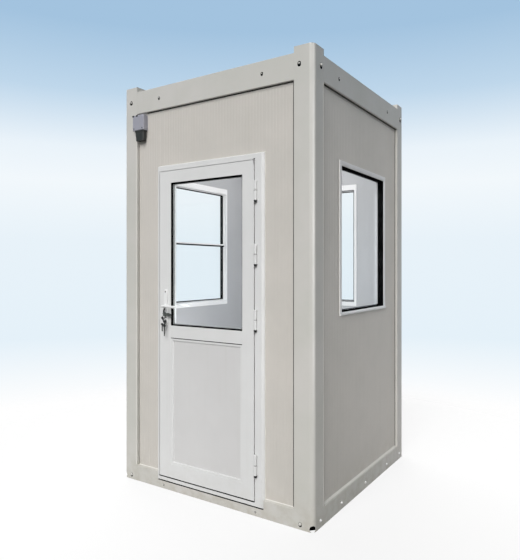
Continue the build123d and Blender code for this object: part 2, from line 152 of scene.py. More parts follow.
def makeEdgeWear():  # a broken line along edges, where paint is rubbed
    tree, given, out = newShaderGroup("edgeWear", {"Reach": 0.003, "Patch Size": 0.03}, ("Edge",))
    rounded = addNode(tree, "ShaderNodeBevel", {"Radius": given["Reach"]}, samples=4).outputs[0]
    plain = addNode(tree, "ShaderNodeNewGeometry").outputs["Normal"]
    dot = addNode(tree, "ShaderNodeVectorMath", {0: rounded, 1: plain}, operation="DOT_PRODUCT").outputs["Value"]
    edge = rampNode(tree, mathNode(tree, "SUBTRACT", 1.0, dot), 0.02, 0.2)
    patches = mathNode(tree, "DIVIDE", 1.0, given["Patch Size"])
    mask = rampNode(tree, noiseNode(tree, objectPlace(tree), patches, detail=3.0), 0.42, 0.62)
    feed(tree, out, {"Edge": mathNode(tree, "MULTIPLY", edge, mask)})
    return tree


def makeGroundDust():  # splashes low down and faint streaks that ran down the sides
    tree, given, out = newShaderGroup("groundDust", {"Reach": 0.35}, ("Dust", "Streak"))
    place = objectPlace(tree)
    height = addNode(tree, "ShaderNodeSeparateXYZ", {0: place}).outputs[2]
    share = mathNode(tree, "DIVIDE", height, given["Reach"])
    low = mathNode(tree, "POWER", mathNode(tree, "SUBTRACT", 1.0, share, clamp=True), 2.0)
    cloud = rampNode(tree, noiseNode(tree, place, scale=14.0, detail=6.0, roughness=0.65), 0.35, 0.68)
    runs = noiseNode(tree, stretchNode(tree, place, (34.0, 34.0, 0.9)), scale=1.0, detail=3.0)
    feed(tree, out, {"Dust": mathNode(tree, "MULTIPLY", low, cloud), "Streak": rampNode(tree, runs, 0.56, 0.78)})
    return tree


paintSkin, edgeWear, groundDust = makePaintSkin(), makeEdgeWear(), makeGroundDust()


# ---- materials
looks = {}


def newMaterial(name):
    looks[name] = bpy.data.materials.new(name)
    looks[name].use_nodes = True
    tree = looks[name].node_tree
    tree.nodes.clear()
    surface = addNode(tree, "ShaderNodeBsdfPrincipled")
    addNode(tree, "ShaderNodeOutputMaterial", {0: surface.outputs[0]})
    return tree, surface


# colours of the paint, its slow shade, rubbed edges and dust; then roughness, size and depth of the peel,
# and the shares of rubbed edges, splashes, streaks and clear coat
coatingParts = ("base", "shade", "wear", "dust", "rough", "peel", "depth", "edges", "dirt", "streaks", "coat")
coatings = {
    "framePaint": ((199, 196, 191), (190, 189, 182), (168, 168, 166), (168, 162, 148),
                   0.42, 0.0022, 0.00012, 0.4, 0.6, 0.08, 0.12),
    "wallPaint": ((198, 193, 186), (191, 187, 180), (176, 174, 170), (166, 160, 146),
                  0.46, 0.0016, 0.00008, 0.2, 0.5, 0.08, 0.08),
    "liningPaint": ((170, 170, 172), (164, 164, 166), (160, 160, 160), (160, 158, 152),
                    0.5, 0.0016, 0.00008, 0.2, 0.3, 0.06, 0.05),
    "roofPaint": ((190, 189, 184), (176, 175, 170), (158, 158, 156), (150, 146, 136),
                  0.55, 0.002, 0.0001, 0.4, 0.3, 0.25, 0.0),
    "doorWhite": ((216, 216, 215), (210, 210, 209), (190, 190, 188), (184, 180, 170),
                  0.44, 0.003, 0.00006, 0.08, 0.3, 0.06, 0.0),
    "doorPanelWhite": ((205, 204, 203), (200, 199, 198), (188, 188, 186), (178, 174, 164),
                       0.38, 0.0025, 0.00006, 0.2, 0.4, 0.08, 0.15),
    "windowWhite": ((229, 228, 228), (223, 222, 222), (196, 196, 194), (186, 182, 172),
                    0.32, 0.003, 0.00005, 0.25, 0.3, 0.08, 0.2),
    "handleWhite": ((226, 226, 225), (219, 219, 218), (160, 160, 158), (190, 186, 178),
                    0.28, 0.0012, 0.00004, 0.4, 0.0, 0.0, 0.3),
    "inletGrey": ((153, 153, 163), (144, 144, 154), (128, 128, 134), (150, 148, 142),
                  0.48, 0.0012, 0.00009, 0.4, 0.0, 0.2, 0.0),
}


toneRough, dirtRough, coatRough = 0.08, 0.3, 0.25  # added by the tone and by dirt, and of the clear coat


def makeCoating(name, *row):
    look = dict(zip(coatingParts, row))
    tree, surface = newMaterial(name)
    skin = addNode(tree, "ShaderNodeGroup", {"Peel Size": look["peel"]}, node_tree=paintSkin).outputs
    dust = addNode(tree, "ShaderNodeGroup", node_tree=groundDust).outputs
    wear = addNode(tree, "ShaderNodeGroup", node_tree=edgeWear).outputs
    tint = mixColour(tree, skin["Tone"], colour(*look["base"]), colour(*look["shade"]))
    for mask, share, over in ((dust["Streak"], "streaks", "dust"), (wear["Edge"], "edges", "wear"),
                              (dust["Dust"], "dirt", "dust")):
        covered = mathNode(tree, "MULTIPLY", mask, look[share])
        tint = mixColour(tree, covered, tint, colour(*look[over]))
    rough = mathNode(tree, "MULTIPLY_ADD", skin["Tone"], toneRough, look["rough"])
    rough = mathNode(tree, "ADD", rough, mathNode(tree, "MULTIPLY", covered, dirtRough), clamp=True)
    feed(tree, surface, {"Base Color": tint, "Roughness": rough, "Coat Weight": look["coat"],
                         "Coat Roughness": coatRough, "Normal": bumpNode(tree, skin["Height"], look["depth"])})


# a tint, how rough, how glossy, and how much paler the bloom is
# the dark seal tint is painted shade: it colours strips where the top rail's lip and the posts' edges shade the
# wall
rubbers = {"blackRubber": ((10, 10, 11), 0.7, 0.0, 1.9), "darkSeal": ((64, 63, 60), 0.65, 0.1, 1.9),
           # the joint mastic tint is partly painted highlight: pale beads under the lip, on the ledge and down the
           # post edges stand for bright lines there
           "blackNylon": ((16, 16, 16), 0.4, 0.3, 1.9), "jointMastic": ((212, 210, 204), 0.6, 0.2, 1.05),
           "inletBlack": ((30, 32, 30), 0.45, 0.3, 1.9)}
# a tint, how rough, and brush lines to the metre
steels = {"lockSteel": ((132, 134, 128), 0.3, 700.0), "screwSteel": ((84, 84, 82), 0.45, 800.0),
          "darkSteel": ((82, 84, 80), 0.42, 800.0), "keySteel": ((46, 46, 44), 0.45, 900.0)}


def makeRubber(name, tint, rough, gloss, bloom):
    tree, surface = newMaterial(name)
    place, base = objectPlace(tree), colour(*tint)
    pale = tuple(min(1.0, c * bloom + 0.004) for c in base[:3]) + (1.0,)
    patch = rampNode(tree, noiseNode(tree, place, scale=22.0, detail=5.0), 0.4, 0.75)
    grain = noiseNode(tree, place, scale=900.0, detail=3.0)
    feed(tree, surface, {"Base Color": mixColour(tree, patch, base, pale), "Specular IOR Level": gloss,
                         "Roughness": mathNode(tree, "MULTIPLY_ADD", patch, 0.15, rough),
                         "Normal": bumpNode(tree, grain, 0.00015)})


def makeSteel(name, tint, rough, scale):
    tree, surface = newMaterial(name)
    place, base = objectPlace(tree), colour(*tint)
    lines = noiseNode(tree, stretchNode(tree, place, (scale, scale * 0.15, scale)), scale=1.0, detail=4.0)
    tarnish = rampNode(tree, noiseNode(tree, place, scale=160.0, detail=4.0), 0.45, 0.7)
    dark = tuple(c * 0.62 for c in base[:3]) + (1.0,)
    feed(tree, surface, {"Base Color": mixColour(tree, tarnish, base, dark), "Metallic": 1.0,
                         "Roughness": mathNode(tree, "MULTIPLY_ADD", lines, 0.25, rough),
                         "Normal": bumpNode(tree, lines, 0.00006)})


def makeGalvanised(name):
    tree, surface = newMaterial(name)
    place = objectPlace(tree)
    tone, distance = cellNode(tree, place, 90.0)
    tint = mixColour(tree, tone, colour(176, 179, 181), colour(142, 146, 149))
    dull = rampNode(tree, noiseNode(tree, place, scale=7.0, detail=5.0), 0.5, 0.8)
    feed(tree, surface, {"Base Color": mixColour(tree, dull, tint, colour(158, 156, 150)), "Metallic": 0.75,
                         "Roughness": mathNode(tree, "MULTIPLY_ADD", tone, 0.18, 0.4),
                         "Normal": bumpNode(tree, distance, 0.0001)})


def makeVinyl(name):  # two tones of chips in a scuffed ground
    tree, surface = newMaterial(name)
    place = objectPlace(tree)
    chip, distance = cellNode(tree, place, 260.0)
    scuffs = noiseNode(tree, place, scale=6.0, detail=7.0, roughness=0.7)
    scuffed = rampNode(tree, scuffs, 0.5, 0.72)
    tint = mixColour(tree, rampNode(tree, chip, 0.72, 0.78), colour(146, 148, 149), colour(178, 179, 178))
    tint = mixColour(tree, rampNode(tree, chip, 0.22, 0.16), tint, colour(112, 114, 116))
    tint = mixColour(tree, mathNode(tree, "MULTIPLY", scuffed, 0.35), tint, colour(128, 124, 116))
    feed(tree, surface, {"Base Color": tint, "Roughness": mathNode(tree, "MULTIPLY_ADD", scuffed, 0.2, 0.38),
                         "Normal": bumpNode(tree, distance, 0.0001, strength=0.4)})


def makeGlass(name):  # lets lamp light straight through, bends what is seen
    tree, surface = newMaterial(name)
    place = objectPlace(tree)
    film = rampNode(tree, noiseNode(tree, place, scale=3.0, detail=6.0), 0.55, 0.8)
    ripple = noiseNode(tree, place, scale=1.6, detail=1.0)
    feed(tree, surface, {"Base Color": (0.975, 0.985, 0.985, 1.0), "Transmission Weight": 1.0, "IOR": 1.19,
                         "Roughness": mathNode(tree, "MULTIPLY", film, 0.02),
                         "Normal": bumpNode(tree, ripple, 0.0004, strength=0.3)})
    clear = addNode(tree, "ShaderNodeBsdfTransparent", {0: (0.94, 0.955, 0.955, 1.0)})
    rays = addNode(tree, "ShaderNodeLightPath").outputs
    either = mixShader(tree, rays["Is Shadow Ray"], surface, clear)
    feed(tree, tree.nodes["Material Output"], {0: either.outputs[0]})


for makeLook, rows in ((makeCoating, coatings), (makeRubber, rubbers), (makeSteel, steels),
                       (makeGalvanised, {"joistSteel": ()}), (makeVinyl, {"floorVinyl": ()}),
                       (makeGlass, {"clearGlass": ()})):
    for name, row in rows.items():
        makeLook(name, *row)
slotLook = {"frame_paint": "framePaint", "wall_paint": "wallPaint", "roof_paint": "roofPaint",
            "joist_steel": "joistSteel", "floor_vinyl": "floorVinyl", "door_white": "doorWhite",
            "window_white": "windowWhite", "glass": "clearGlass", "black_rubber": "blackRubber",
            "handle_alloy": "handleWhite", "lock_steel": "lockSteel", "inlet_grey": "inletGrey",
            "inlet_black": "inletBlack"}
lookSlot = {look: slotName for slotName, look in slotLook.items()}
lookSlot.update({"liningPaint": "wall_paint", "doorPanelWhite": "door_white", "jointMastic": "frame_paint",
                 "darkSeal": "black_rubber", "blackNylon": "black_rubber", "darkSteel": "lock_steel",
                 "keySteel": "lock_steel", "screwSteel": "lock_steel"})
for name, part in nodes.items():
    part.data.materials.clear()
    part.data.materials.append(looks[slotLook[slotOf[name]]])
nodes["door_lower_panel"].data.materials[0] = looks["doorPanelWhite"]
print("materials made:", len(looks))

# ---- places on the four sides: along the wall, outward from the posts' faces, and up
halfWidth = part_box("post_front_right")[1].x
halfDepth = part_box("post_rear_right")[1].y
sides = {
    "front": (Vector((0, -halfDepth, 0)), Vector((1, 0, 0)), Vector((0, -1, 0))),
    "right": (Vector((halfWidth, 0, 0)), Vector((0, 1, 0)), Vector((1, 0, 0))),
    "rear": (Vector((0, halfDepth, 0)), Vector((-1, 0, 0)), Vector((0, 1, 0))),
    "left": (Vector((-halfWidth, 0, 0)), Vector((0, -1, 0)), Vector((-1, 0, 0))),
}


def onSide(side, along, out, up):
    origin, alongAxis, outAxis = sides[side]
    return origin + alongAxis * along + outAxis * out + Vector((0, 0, up))


def sideBox(side, node):  # a node's ranges along, outward and up on that side
    origin, alongAxis, outAxis = sides[side]
    low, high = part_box(node)
    alongRange, outRange = [sorted(((low - origin).dot(axis), (high - origin).dot(axis)))
                            for axis in (alongAxis, outAxis)]
    return alongRange, outRange, (low.z, high.z)


def faceOf(side, node):  # a node's rectangle on that side: (along, along, up, up)
    alongRange, outRange, upRange = sideBox(side, node)
    return (*alongRange, *upRange)


def grown(rectangle, amount):  # made larger all round, or by (left, right, down, up)
    left, right, down, up = amount if isinstance(amount, tuple) else (amount,) * 4
    a0, a1, u0, u1 = rectangle
    return (a0 - left, a1 + right, u0 - down, u1 + up)


def flat(low, high):  # the section of a plain square-edged ring
    return [(0, low), (1, low), (1, high), (0, high)]


def raised(section, up):
    return [(out, height + up) for out, height in section]


def arc(centre, radius, first, last, steps):  # points from one angle to another, in degrees
    turns = [math.radians(first + (last - first) * i / steps) for i in range(steps + 1)]
    return [(centre[0] + radius * math.cos(turn), centre[1] + radius * math.sin(turn)) for turn in turns]


def circle(count):
    return arc((0, 0), 1.0, 0, 360, count)[:-1]


# ---- mesh helpers
tubeSides, wireSides = 20, 8  # corners round swept tubes and wire rings
weld = {"distance": 0.00002, "angle": 0.6}  # how near points are joined, and how flat faces


def joinLoops(bm, loops):  # faces between each loop of corners and the next
    for first, second in zip(loops, loops[1:]):
        for j in range(len(first)):
            k = (j + 1) % len(first)
            bm.faces.new((first[j], first[k], second[k], second[j]))


def addLoft(bm, rings):  # rings of points joined side to side, with end faces
    made = [[bm.verts.new(point) for point in ring] for ring in rings]
    joinLoops(bm, made)
    bm.faces.new(made[0][::-1])
    bm.faces.new(made[-1])


def addBar(bm, side, ends, section):  # (outward, up) points run along the wall
    addLoft(bm, [[onSide(side, end, o, u) for o, u in section] for end in ends])


def addUpright(bm, side, ends, section):  # (along, outward) points run up the wall
    addLoft(bm, [[onSide(side, a, o, end) for a, o in section] for end in ends])


def addBlock(bm, side, alongRange, outRange, upRange):
    (o0, o1), (u0, u1) = outRange, upRange
    addBar(bm, side, alongRange, [(o0, u0), (o1, u0), (o1, u1), (o0, u1)])


def addRing(bm, side, outer, inner, section):
    # one closed frame of even section; a section point is (0 at the outer edge to 1 at the inner, outward)
    edges = [([o + (n - o) * share for o, n in zip(outer, inner)], out) for share, out in section]
    loops = [[bm.verts.new(onSide(side, edge[i], out, edge[j])) for edge, out in edges]
             for i, j in ((0, 2), (1, 2), (1, 3), (0, 3))]
    joinLoops(bm, loops + loops[:1])


def spokesOf(axis, count):  # unit spokes round an axis
    axis = Vector(axis).normalized()
    across = axis.orthogonal().normalized()
    other = axis.cross(across)
    return axis, [across * c + other * s for c, s in circle(count)]


def addLathe(bm, centre, axis, profile, count=28):  # profile: (radius, distance along the axis)
    axis, spokes = spokesOf(axis, count)
    addLoft(bm, [[Vector(centre) + axis * reach + spoke * radius for spoke in spokes]
                 for radius, reach in profile])


def addTorus(bm, centre, axis, radius, wire, count=36):
    axis, spokes = spokesOf(axis, count)
    loops = [[bm.verts.new(Vector(centre) + spoke * (radius + wire * c) + axis * (wire * s))
              for c, s in circle(wireSides)] for spoke in spokes]
    joinLoops(bm, loops + loops[:1])


def addSweep(bm, path, shape, upAxis=(0, 0, 1)):
    # an oval run along a path; shape gives (half across, half up) at each path point
    rings = []
    for i, point in enumerate(path):
        ahead = (Vector(path[min(i + 1, len(path) - 1)]) - Vector(path[max(i - 1, 0)])).normalized()
        across = ahead.cross(Vector(upAxis)).normalized()
        up = across.cross(ahead).normalized()
        wide, tall = shape[i]
        rings.append([Vector(point) + across * (wide * c) + up * (tall * s) for c, s in circle(tubeSides)])
    addLoft(bm, rings)


def smoothed(mesh, angle=None):
    for face in mesh.polygons:
        face.use_smooth = True
    if angle is not None:
        mesh.set_sharp_from_angle(angle=math.radians(angle))
    return mesh


def meshFrom(bm):
    bmesh.ops.recalc_face_normals(bm, faces=bm.faces)
    return plainMesh(bm)


def plainMesh(bm):
    mesh = bpy.data.meshes.new("mesh")
    bm.to_mesh(mesh)
    bm.free()
    return mesh


def newHolder(mesh):
    holder = bpy.data.objects.new("holder", mesh)
    scene.collection.objects.link(holder)
    return holder


def evaluatedMesh(holder):  # the mesh with its modifiers applied, and the holder removed
    bpy.context.view_layer.update()
    graph = bpy.context.evaluated_depsgraph_get()
    result = bpy.data.meshes.new_from_object(holder.evaluated_get(graph), depsgraph=graph)
    bpy.data.objects.remove(holder)
    return result


def eased(mesh, width, segments, angle):  # edges rounded, flat faces kept flat in the light
    holder = newHolder(smoothed(mesh))
    bevel = holder.modifiers.new("Bevel", "BEVEL")
    bevel.width, bevel.segments = width, segments
    bevel.limit_method, bevel.angle_limit = "ANGLE", math.radians(angle)
    bevel.use_clamp_overlap = True
    holder.modifiers.new("WeightedNormal", "WEIGHTED_NORMAL").keep_sharp = True
    return evaluatedMesh(holder)


def cadMesh(name):  # a copy of a CAD node, with flat faces joined again
    bm = bmesh.new()
    bm.from_mesh(nodes[name].data)
    bmesh.ops.remove_doubles(bm, verts=bm.verts, dist=weld["distance"])
    bmesh.ops.dissolve_limit(bm, angle_limit=math.radians(weld["angle"]), verts=bm.verts, edges=bm.edges)
    return plainMesh(bm)


def addPiece(name, shape, look, ease=None, standsFor=(), body="booth", slotName=None):
    # shape is a mesh, the bmesh to make it from, or None for a copy of the CAD node that the piece stands for;
    # ease is (width, segments, smallest angle)
    mesh = meshFrom(shape) if isinstance(shape, bmesh.types.BMesh) else shape or cadMesh(standsFor[0])
    if ease:
        mesh = eased(mesh, *ease)
    mesh.name = name
    mesh.materials.clear()
    mesh.materials.append(looks[look])
    piece = bpy.data.objects.new(name, mesh)
    scene.collection.objects.link(piece)
    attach(piece, body)
    if standsFor:
        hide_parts(*standsFor)


# ---- Geometry Nodes trees
def newTree(name, inputs):
    tree = bpy.data.node_groups.new(name, "GeometryNodeTree")
    for way in ("INPUT", "OUTPUT"):
        tree.interface.new_socket("Geometry", in_out=way, socket_type="NodeSocketGeometry")
    for label, (kind, value) in inputs.items():
        socket = tree.interface.new_socket(label, in_out="INPUT", socket_type="NodeSocket" + kind)
        if value is not None:
            socket.default_value = value
    return tree, tree.nodes.new("NodeGroupInput").outputs, tree.nodes.new("NodeGroupOutput")


def endTree(tree, given, out, instances):
    real = addNode(tree, "GeometryNodeRealizeInstances", {"Geometry": instances}).outputs[0]
    painted = addNode(tree, "GeometryNodeSetMaterial", {"Geometry": real, "Material": given["Material"]})
    tree.links.new(painted.outputs[0], out.inputs[0])
    return tree


def vectorOf(tree, x=0.0, y=0.0, z=0.0):
    return addNode(tree, "ShaderNodeCombineXYZ", {"X": x, "Y": y, "Z": z}).outputs[0]


def shifted(tree, geometry, **settings):
    inputs = {"Geometry": geometry.outputs[0]}
    inputs.update({key.capitalize(): value for key, value in settings.items()})
    return addNode(tree, "GeometryNodeTransform", inputs)


def storedValue(tree, name, kind="FLOAT"):
    node = addNode(tree, "GeometryNodeInputNamedAttribute", {"Name": name}, data_type=kind)
    return findSocket(node.outputs, "Attribute")


def turnAbout(tree, angle):
    return addNode(tree, "FunctionNodeEulerToRotation", {"Euler": vectorOf(tree, z=angle)}).outputs[0]


def makeStripTree():  # low strips with sloping edges standing on points, each with its own length and turn
    tree, given, out = newTree("wallStrips", {
        "Foot Width": ("Float", 0.017), "Top Width": ("Float", 0.0155), "Rise": ("Float", 0.0006),
        "Material": ("Material", None)})
    foot, top, rise = (given[name] for name in ("Foot Width", "Top Width", "Rise"))
    bar = addNode(tree, "GeometryNodeMeshCube", {"Size": vectorOf(tree, foot, rise, 1.0)})
    place = addNode(tree, "GeometryNodeInputPosition").outputs[0]
    x, y, z = addNode(tree, "ShaderNodeSeparateXYZ", {0: place}).outputs
    narrowed = mathNode(tree, "MULTIPLY", x, mathNode(tree, "DIVIDE", top, foot))
    sloped = addNode(tree, "GeometryNodeSetPosition", {
        "Geometry": bar.outputs[0], "Selection": mathNode(tree, "LESS_THAN", y, 0.0),
        "Position": vectorOf(tree, narrowed, y, z)})
    stood = shifted(tree, sloped, translation=vectorOf(tree, 0.0, mathNode(tree, "MULTIPLY", rise, -0.5), 0.5))
    placed = addNode(tree, "GeometryNodeInstanceOnPoints", {
        "Points": given[0], "Instance": stood.outputs[0], "Rotation": turnAbout(tree, storedValue(tree, "turn")),
        "Scale": vectorOf(tree, 1.0, 1.0, storedValue(tree, "stripLength"))})
    return endTree(tree, given, out, placed.outputs[0])


def makeHeadTree(name, hexagon):  # screw or bolt heads with their washers, turned at random
    tree, given, out = newTree(name, {
        "Head Radius": ("Float", 0.008), "Head Height": ("Float", 0.005), "Washer Radius": ("Float", 0.011),
        "Washer Height": ("Float", 0.0015), "Seed": ("Int", 3), "Material": ("Material", None)})
    radius, height, washerRadius, washerHeight = (given[i] for i in range(1, 5))
    washer = addNode(tree, "GeometryNodeMeshCone", {
        "Vertices": 24, "Radius Top": mathNode(tree, "MULTIPLY", washerRadius, 0.9),
        "Radius Bottom": washerRadius, "Depth": washerHeight})
    if hexagon:
        head = addNode(tree, "GeometryNodeMeshCylinder", {"Vertices": 6, "Radius": radius, "Depth": height})
        raised = shifted(tree, head, translation=vectorOf(tree, z=mathNode(tree, "MULTIPLY", height, 0.5)))
    else:
        head = addNode(tree, "GeometryNodeMeshUVSphere", {"Segments": 20, "Rings": 10, "Radius": radius})
        flatness = vectorOf(tree, 1.0, 1.0, mathNode(tree, "DIVIDE", height, radius))
        raised = shifted(tree, head, translation=vectorOf(tree, z=washerHeight), scale=flatness)
    both = addNode(tree, "GeometryNodeJoinGeometry")
    for half in (washer, raised):
        tree.links.new(half.outputs[0], both.inputs[0])
    aim = addNode(tree, "FunctionNodeAlignRotationToVector", {
        "Vector": storedValue(tree, "facing", "FLOAT_VECTOR")}, axis="Z")
    chance = addNode(tree, "FunctionNodeRandomValue", {
        "Min": 0.0, "Max": 6.28, "Seed": given["Seed"]}, data_type="FLOAT")
    turned = addNode(tree, "FunctionNodeRotateRotation", {
        "Rotation": aim.outputs[0], "Rotate By": turnAbout(tree, findSocket(chance.outputs, "Value"))},
        rotation_space="LOCAL")
    placed = addNode(tree, "GeometryNodeInstanceOnPoints", {
        "Points": given[0], "Instance": both.outputs[0], "Rotation": turned.outputs[0]})
    return endTree(tree, given, out, placed.outputs[0])


def growMesh(tree, points, attributes, settings, smoothAngle):
    # runs a tree on a cloud of points and gives back a plain mesh
    mesh = bpy.data.meshes.new("cloud")
    mesh.from_pydata(points, [], [])
    for name, values in attributes.items():
        if isinstance(values[0], float):
            mesh.attributes.new(name, "FLOAT", "POINT").data.foreach_set("value", values)
        else:
            flatList = [c for value in values for c in value]
            mesh.attributes.new(name, "FLOAT_VECTOR", "POINT").data.foreach_set("vector", flatList)
    holder = newHolder(mesh)
    modifier = holder.modifiers.new("Grow", "NODES")
    modifier.node_group = tree
    for item in tree.interface.items_tree:
        if item.in_out == "INPUT" and item.name in settings:
            modifier[item.identifier] = settings[item.name]
    result = evaluatedMesh(holder)
    for name in attributes:
        if name in result.attributes:
            result.attributes.remove(result.attributes[name])
    return smoothed(result, smoothAngle)


stripTree, domeTree, hexTree = makeStripTree(), makeHeadTree("domeHeads", False), makeHeadTree("hexHeads", True)
print("trees made")

# ---- steel frame: posts and rails with eased folds
framePieces = {"fold": (0.0014, 2, 40), "panel": (0.0009, 2, 40), "roof": (0.002, 2, 20)}
for name in nodes:
    if name.startswith("post_") or "_rail_" in name:
        addPiece(name + "_shell", None, "framePaint", framePieces["fold"], (name,))
    elif name.endswith("_wall") or name.startswith("front_wall_"):
        addPiece(name + "_skin", None, "wallPaint", framePieces["panel"], (name,))
addPiece("roof_sheet", None, "roofPaint", framePieces["roof"], ("roof_panel",))
print("posts, rails, walls and roof done")

# ---- shallow strips pressed into the wall sheets
wallStrips = {"pitch": 0.0214, "foot": 0.0180, "top": 0.0162, "rise": 0.00065, "margin": 0.006, "shortest": 0.01}
stripTurn = {"front": 0.0, "right": 90.0, "rear": 180.0, "left": -90.0}
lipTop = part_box("base_rail_front")[1].z
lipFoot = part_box("top_rail_front")[0].z
windowSides = ("right", "left", "rear")
windows = {side: faceOf(side, side + "_window_glass") for side in windowSides}  # the sight openings
windowTrim = (0.03, 0.03, 0.018, 0.03)  # its width at the left, right, foot and top
frameOuter = (-0.407, 0.399, 0.05, 2.057)  # the door frame's trim
inletFace = faceOf("front", "power_inlet_box")


def stripRows(side, node, cuts):
    # one point per strip and free height: cuts are (along, along, up, up) openings
    (a0, a1), (o0, o1), upRange = sideBox(side, node)
    pitch, half = wallStrips["pitch"], wallStrips["foot"] / 2
    count = int((a1 - a0 - 2 * wallStrips["margin"]) / pitch)
    start = (a0 + a1 - (count - 1) * pitch) / 2
    rows = []
    for i in range(count):
        along = start + i * pitch
        spans = [(max(upRange[0], lipTop), min(upRange[1], lipFoot))]
        for c0, c1, u0, u1 in cuts:
            if along + half > c0 and along - half < c1:
                spans = [part for s0, s1 in spans for part in ((s0, u0), (u1, s1))
                         if part[1] - part[0] > wallStrips["shortest"]]
        for s0, s1 in spans:
            rows.append((onSide(side, along, o1, s0), s1 - s0, math.radians(stripTurn[side])))
    return rows


rows = []
for node, cuts in (("left", [frameOuter, inletFace]), ("right", [frameOuter]),
                   ("head", [frameOuter, inletFace])):
    rows += stripRows("front", "front_wall_" + node, cuts)
for side in windowSides:
    rows += stripRows(side, side + "_wall", [grown(windows[side], windowTrim)])
points, lengths, turns = ([row[i] for row in rows] for i in range(3))
stripMesh = growMesh(stripTree, [tuple(point) for point in points], {"stripLength": lengths, "turn": turns}, {
    "Foot Width": wallStrips["foot"], "Top Width": wallStrips["top"], "Rise": wallStrips["rise"],
    "Material": looks["wallPaint"]}, 1)
addPiece("wall_strips", stripMesh, "wallPaint")
print("wall strips:", len(rows))

# ---- inner sheets of the wall panels and the ceiling
lining = {"depths": (-0.0787, -0.0781), "reach": 0.6364, "holeGrow": 0.010, "gap": 0.0002,
          "door": (-0.410, 0.390, 2.052), "ceiling": (-0.0012, -0.0004)}
floorTop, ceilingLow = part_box("floor_panel")[1].z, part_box("roof_panel")[0].z
reach, gap = lining["reach"], lining["gap"]
lowest, highest = floorTop + gap, ceilingLow - gap
for side in sides:
    bm = bmesh.new()
    if side == "front":
        d0, d1, head = lining["door"]
        for a0, a1, u0 in ((-reach, d0, lowest), (d1, reach, lowest), (d0 + gap, d1 - gap, head)):
            addBlock(bm, side, (a0, a1), lining["depths"], (u0, highest))
    else:
        hole = grown(windows[side], lining["holeGrow"])
        addRing(bm, side, (-reach, reach, lowest, highest), hole, flat(*lining["depths"]))
    addPiece(side + "_wall_lining", bm, "liningPaint")
bm = bmesh.new()
addLoft(bm, [[Vector((x, y, ceilingLow + drop)) for x, y in ((-reach, -reach), (reach, -reach), (reach, reach),
                                                             (-reach, reach))] for drop in lining["ceiling"]])
addPiece("ceiling_lining", bm, "liningPaint", slotName="roof_paint")

# ---- windows: rings between two edges, each grown from the sight opening, and their sections
coverSection = [(0, -0.078), (1, -0.078), (1, -0.082), (0.8, -0.084), (0.1, -0.084), (0, -0.082)]
windowRings = {
    # outer trim whose flat face falls away gently to the glass, the part in the wall, and the glazing bead
    "frame": [(windowTrim, 0, [(0, -0.018), (0, -0.0138), (0.06, -0.013), (0.82, -0.013), (1, -0.016),
                               (1, -0.018)]),
              (0.01, 0, flat(-0.0182, -0.0778)),
              (0, -0.005, [(0, -0.05), (1, -0.05), (1, -0.052), (0.3, -0.06), (0, -0.06)])],
    "cover": [((0.022, 0.022, 0.034, 0.042), 0, coverSection)],
    "leftCover": [((0.01, 0.01, 0.034, 0.042), 0, coverSection)],
    # lining of the reveal, rubber between glass and bead, and the channel that grips the glass
    "seal": [(0, -0.005, [(0, -0.0397), (0, -0.0164), (0.3, -0.016), (1, -0.027), (1, -0.0397)]),
             (0, (-0.01, -0.01, -0.013, -0.013), flat(-0.0463, -0.0505)),
             (0, -0.0012, flat(-0.0461, -0.0399))],
    "rightSeal": [(0, -0.0058, [(0, -0.05), (1, -0.05), (1, -0.0526), (0.3, -0.0608), (0, -0.0608)])],
    "rearSeal": [(0.0003, -0.005, [(0, -0.079), (1, -0.079), (1, -0.082), (0, -0.0842)])],
    "reveal": [(0, -0.0008, flat(-0.061, -0.083))],
}
sill = [(-0.014, 0), (-0.008, 0), (-0.008, 0.01008), (-0.014, 0.014)]  # a sloping top and a drip edge
drains = {"shift": -0.018, "pitch": 0.15, "up": 0.006, "plate": (0.011, (-0.0090, -0.0065), (-0.0035, 0.0035)),
          "hood": (0.009, (-0.0068, -0.0044), (0.0005, 0.0035))}


def addWindowRings(bm, side, part):
    for outer, inner, section in windowRings.get(part, ()):
        addRing(bm, side, grown(windows[side], outer), grown(windows[side], inner), section)


gasketBm, drainBm, revealBm, barBm = bmesh.new(), bmesh.new(), bmesh.new(), bmesh.new()
for side in windowSides:
    bm = bmesh.new()
    for part in ("frame", "leftCover" if side == "left" else "cover"):
        addWindowRings(bm, side, part)
    a0, a1, low, top = grown(windows[side], windowTrim)
    addBar(bm, side, (a0, a1), raised(sill, low))
    addPiece(side + "_window_frame_trim", bm, "windowWhite", (0.0009, 2, 25), (side + "_window_frame",))
    for part in ("seal", side + "Seal"):
        addWindowRings(gasketBm, side, part)
    for step in (-1, 0, 1):  # drain covers on the sill
        along, up = (a0 + a1) / 2 + drains["shift"] + step * drains["pitch"], low + drains["up"]
        for half, outRange, (u0, u1) in (drains["plate"], drains["hood"]):
            addBlock(drainBm, side, (along - half, along + half), outRange, (up + u0, up + u1))
addPiece("window_gasket_rings", gasketBm, "blackRubber", (0.0005, 1, 30), ("window_gaskets",))
addWindowRings(revealBm, "right", "reveal")
addPiece("right_window_reveal_lining", revealBm, "liningPaint", (0.0002, 1, 30))

# black rubber under the transom bar of the left window, reaching below the bar as painted shade, and the bar
# itself with rounded edges
barSealAndShade = {"ends": 0.002, "grow": 0.0007, "below": 0.003, "share": 0.42}
(o0, o1), (u0, u1) = sideBox("left", "left_window_transom")[1:]
a0, a1 = grown(windows["left"], -barSealAndShade["ends"])[:2]
addBlock(barBm, "left", (a0, a1), (o0 - barSealAndShade["grow"], o1 + barSealAndShade["grow"]),
         (u0 - barSealAndShade["below"], u0 + (u1 - u0) * barSealAndShade["share"]))
addPiece("transom_seal_and_shade", barBm, "blackRubber", (0.0008, 2, 30))
addPiece("left_window_bar", None, "windowWhite", (0.003, 3, 40), ("left_window_transom",))
addPiece("sill_drain_covers", drainBm, "windowWhite", (0.0007, 2, 40))
print("windows done")

